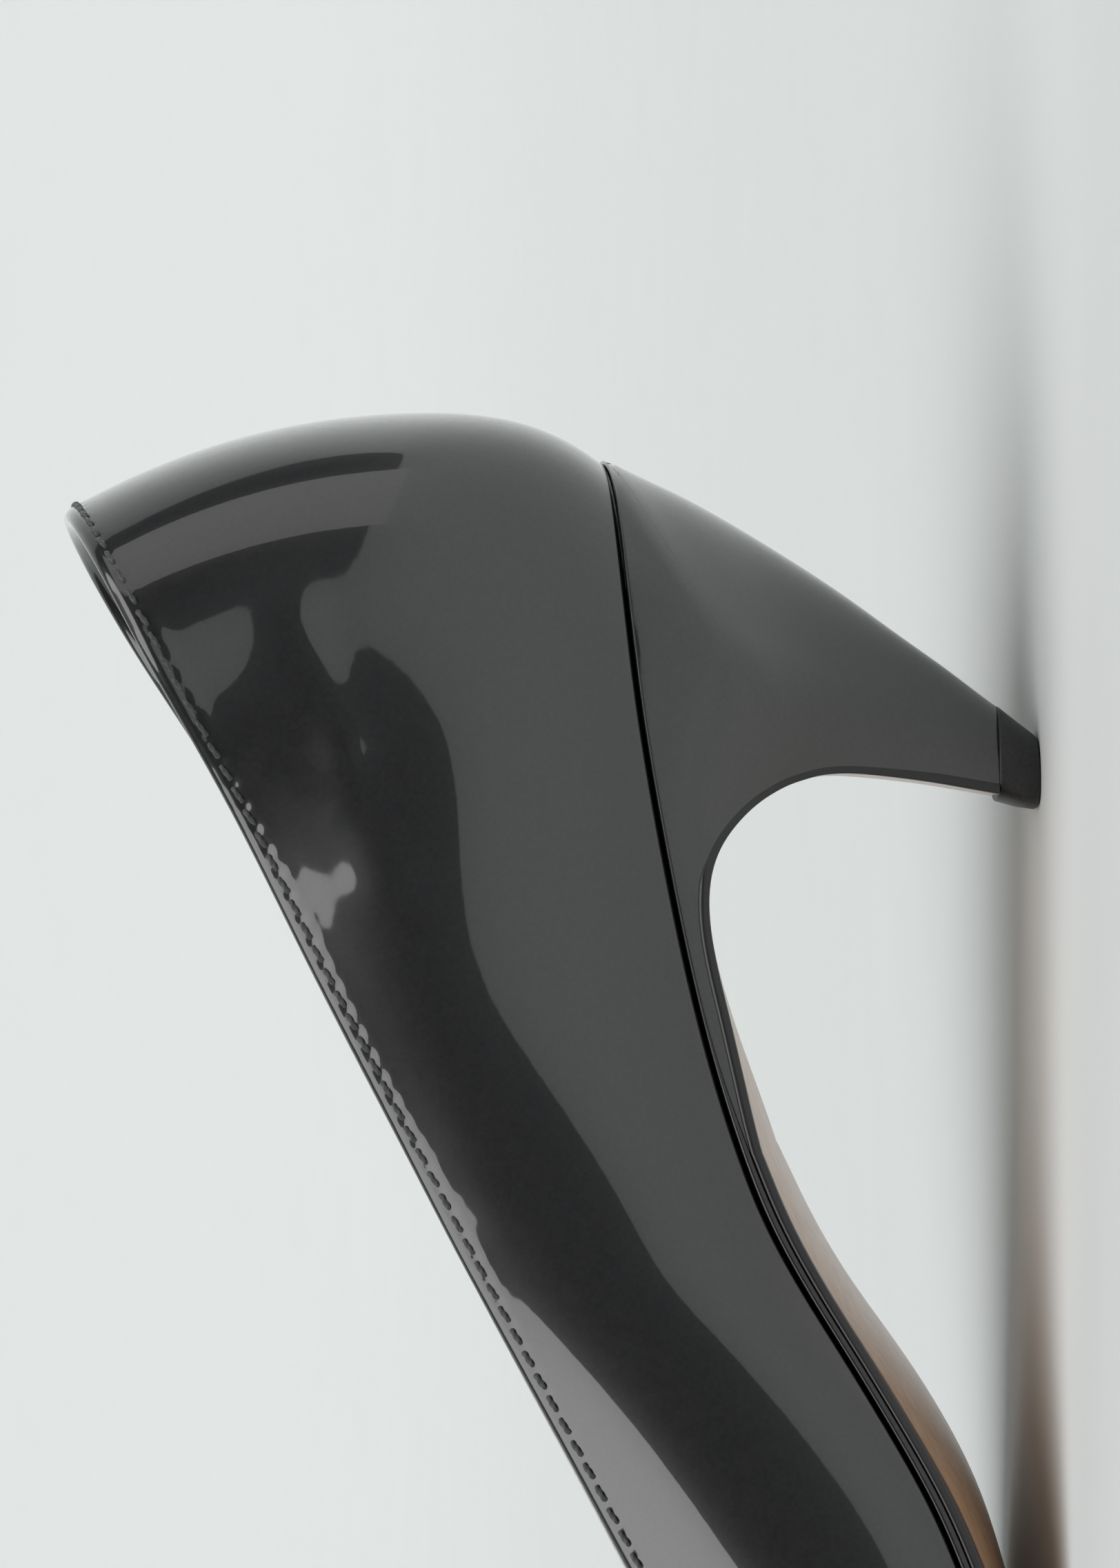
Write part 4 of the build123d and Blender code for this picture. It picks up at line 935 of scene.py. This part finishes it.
def materials():
    """One finished material for each slot of the record."""
    return {
        "patent_leather": patent_leather("patent_leather", 190),
        "lining_leather": surface_material("lining_leather", (0.52, 0.40, 0.29), (0.62, 0.49, 0.36),
                                           0.55, 2200, bump=(0.35, 0.00008), spec=0.35),
        "suede": surface_material("suede", (0.36, 0.26, 0.18), (0.50, 0.38, 0.27), 0.95, 5200,
                                  bump=(0.7, 0.0002), sheen=0.6, spec=0.15),
        "fibreboard": surface_material("fibreboard", (0.42, 0.33, 0.22), (0.60, 0.50, 0.36), 0.85, 900),
        "interlining": weave_material("interlining", (0.55, 0.53, 0.48), (0.72, 0.70, 0.65), 0.5),
        "thread": surface_material("thread", (0.030, 0.030, 0.031), (0.085, 0.085, 0.086), 0.5, 9000,
                                   bump=(0.5, 0.00003), sheen=0.3),
        "insole_board": surface_material("insole_board", (0.50, 0.40, 0.28), (0.64, 0.54, 0.40), 0.85, 1300),
        "spring_steel": surface_material("spring_steel", (0.40, 0.41, 0.43), (0.55, 0.56, 0.58), 0.32, 600,
                                         metallic=1.0, stretch=(0.1, 1, 1)),
        "cork_foam": surface_material("cork_foam", (0.30, 0.17, 0.09), (0.52, 0.34, 0.20), 0.92, 600,
                                      bump=(0.6, 0.0003)),
        "foam": surface_material("foam", (0.60, 0.58, 0.52), (0.72, 0.70, 0.64), 0.95, 2500,
                                 bump=(0.5, 0.0002)),
        "edge_black": surface_material("edge_black", (0.009, 0.009, 0.009), (0.018, 0.017, 0.017), 0.26, 1200,
                                       bump=(0.15, 0.00005), coat=0.6),
        "sole_leather": sole_material(),
        "heel_plastic": surface_material("heel_plastic", (0.11, 0.11, 0.11), (0.15, 0.15, 0.15), 0.5, 800),
        "black_tpu": surface_material("black_tpu", (0.010, 0.010, 0.010), (0.020, 0.020, 0.020), 0.48, 2600,
                                      bump=(0.3, 0.00006)),
    }


# ---------------------------------------------------------------- studio, in metres
WALL_START, WALL_BEND, WALL_TOP = -1.2, 1.0, 5.0   # where the paper leaves the floor, its bend, its top
SUN_STRENGTH, SUN_SPREAD = 2.4, 70                 # overhead light and its softness in degrees
SUN_FROM = (0.1, 0.5, 1.0)
ROOM_TINT, ROOM_STRENGTH = (0.9, 0.95, 1.0, 1), 0.06
EYE_Y, EYE_Z = 1.3, 0.140                          # camera, on the inner side of the shoe
AIM_X, AIM_Z = 0.0014, 0.0549                      # middle of the view, on the shoe's centre plane
VIEW_RUN = 0.1796                                  # length of shoe covered by the long side of the view
SENSOR = 36


def floor_and_wall():
    """Seamless paper: floor running up into a wall far behind the shoe."""
    profile = [(9.0, 0.0), (3.0, 0.0), (1.0, 0.0), (0.0, 0.0), (WALL_START, 0.0)]
    for k in range(1, 13):
        a = 0.5 * math.pi * k / 12
        profile.append((WALL_START - WALL_BEND * math.sin(a), WALL_BEND - WALL_BEND * math.cos(a)))
    profile.append((WALL_START - WALL_BEND, WALL_TOP))
    xs = np.linspace(-6, 6, 9)
    points = [(x, y, z) for y, z in profile for x in xs]
    obj = make_mesh("floor_paper", np.array(points) / MM, grid_faces(len(profile), len(xs), flip=True))
    mat, nodes, links, bsdf = new_material("paper")
    tex = noise(nodes, links, 40, 3)
    tone = ramp(nodes, links, tex.outputs["Fac"], ((0.3, (0.79, 0.812, 0.805)), (0.7, (0.80, 0.822, 0.815))))
    links.new(tone.outputs["Color"], bsdf.inputs["Base Color"])
    bsdf.inputs["Roughness"].default_value = 0.85
    bsdf.inputs["Specular IOR Level"].default_value = 0.15
    obj.data.materials.append(mat)
    return obj


def card(name, centre, target, width, height, strength):
    """Glowing panel facing a target, seen in reflections but not by the camera."""
    mesh = bpy.data.meshes.new(name)
    w, h = width / 2, height / 2
    mesh.from_pydata([(-w, -h, 0), (w, -h, 0), (w, h, 0), (-w, h, 0)], [], [(0, 1, 2, 3)])
    obj = bpy.data.objects.new(name, mesh)
    bpy.context.scene.collection.objects.link(obj)
    obj.location = centre
    obj.rotation_euler = (Vector(target) - Vector(centre)).to_track_quat("Z", "Y").to_euler()
    mat = bpy.data.materials.new(name)
    mat.use_nodes = True
    mat.node_tree.nodes.clear()
    glow = mat.node_tree.nodes.new("ShaderNodeEmission")
    glow.inputs["Strength"].default_value = strength
    out = mat.node_tree.nodes.new("ShaderNodeOutputMaterial")
    mat.node_tree.links.new(glow.outputs["Emission"], out.inputs["Surface"])
    mesh.materials.append(mat)
    obj.visible_camera = False
    obj.visible_diffuse = False
    obj.visible_shadow = False
    return obj


def lights():
    """Soft overhead light in a dim room, with two cards that show only in the gloss."""
    sun = bpy.data.lights.new("overhead", "SUN")
    sun.energy = SUN_STRENGTH
    sun.angle = math.radians(SUN_SPREAD)
    lamp = bpy.data.objects.new("overhead", sun)
    bpy.context.scene.collection.objects.link(lamp)
    lamp.rotation_euler = Vector(SUN_FROM).to_track_quat("Z", "Y").to_euler()
    world = bpy.data.worlds.new("studio")
    bpy.context.scene.world = world
    world.use_nodes = True
    room = world.node_tree.nodes["Background"]
    room.inputs["Color"].default_value = ROOM_TINT
    room.inputs["Strength"].default_value = ROOM_STRENGTH
    card("heel_card", (-1.5, 0.75, 0.66), (0, 0, 0.3), 1.7, 1.4, 0.85)
    card("top_card", (0.3, 0.1, 1.6), (0, 0, 0.05), 1.0, 0.6, 0.22)


def look():
    """Plain colours, so that black stays neutral."""
    bpy.context.scene.view_settings.view_transform = "Standard"


def camera():
    """Long lens on the inner side, rolled a quarter turn and tilted down at the shoe."""
    data = bpy.data.cameras.new("camera")
    data.sensor_fit = "VERTICAL"
    data.sensor_height = SENSOR
    data.lens = SENSOR * math.hypot(EYE_Y, EYE_Z - AIM_Z) / VIEW_RUN
    data.clip_start = 0.05
    cam = bpy.data.objects.new("camera", data)
    bpy.context.scene.collection.objects.link(cam)
    down = math.atan2(EYE_Z - AIM_Z, EYE_Y)
    c, s = math.cos(down), math.sin(down)
    cam.matrix_world = Matrix(((0, -1, 0, AIM_X), (s, 0, c, EYE_Y), (-c, 0, s, EYE_Z), (0, 0, 0, 1)))
    bpy.context.scene.camera = cam


# ---------------------------------------------------------------- assembly
MATS = materials()
PIECES = (
    (upper_skin(), "patent_leather", ("upper",)),
    (layer_skin("quarter_lining_skin", -60, VAMP_SEAM, 2.1, INSOLE_TOP - 0.5, LINING_IN), "lining_leather",
     ("quarter_lining",)),
    (layer_skin("vamp_lining_skin", VAMP_SEAM, LAST_RING - 3, 2.1, INSOLE_TOP - 0.5, LINING_IN),
     "lining_leather", ("vamp_lining",)),
    (layer_skin("heel_grip_suede", -60, GRIP_END, 3.4, INSOLE_TOP + 0.5, LINING_IN + SUEDE), "suede",
     ("heel_grip",)),
    (sock_pad(), "lining_leather", ("sock_lining", "footbed_cushion")),
    (band("rand_strip", RAND_PROFILE, rand_drop), "edge_black", ("rand",)),
    (outsole_leather(), "sole_leather", ("outsole",)),
    (heel_cover_skin(), "patent_leather", ("heel_cover",)),
    (top_lift_rubber(), "black_tpu", ("top_lift",)),
    (topline_thread(), "thread", ("topline_stitching",)),
)
for piece, kind, nodes in PIECES:
    piece.data.materials.append(MATS[kind])
    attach(piece, "root")
    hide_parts(*nodes)

INSIDE = {
    "heel_counter": "fibreboard", "toe_puff": "fibreboard", "vamp_interlining": "interlining",
    "topline_tape": "interlining", "insole_forepart": "insole_board", "insole_backpart": "insole_board",
    "shank": "spring_steel", "shank_rivets": "spring_steel", "bottom_filler": "cork_foam",
    "seat_filler": "cork_foam", "heel_core": "heel_plastic", "heel_tube": "spring_steel",
    "top_lift_pin": "spring_steel", "heel_screw": "spring_steel", "heel_nails": "spring_steel",
}
for node, kind in INSIDE.items():
    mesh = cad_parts[node].data
    mesh.materials.clear()
    mesh.materials.append(MATS[kind])

floor_and_wall()
lights()
look()
camera()
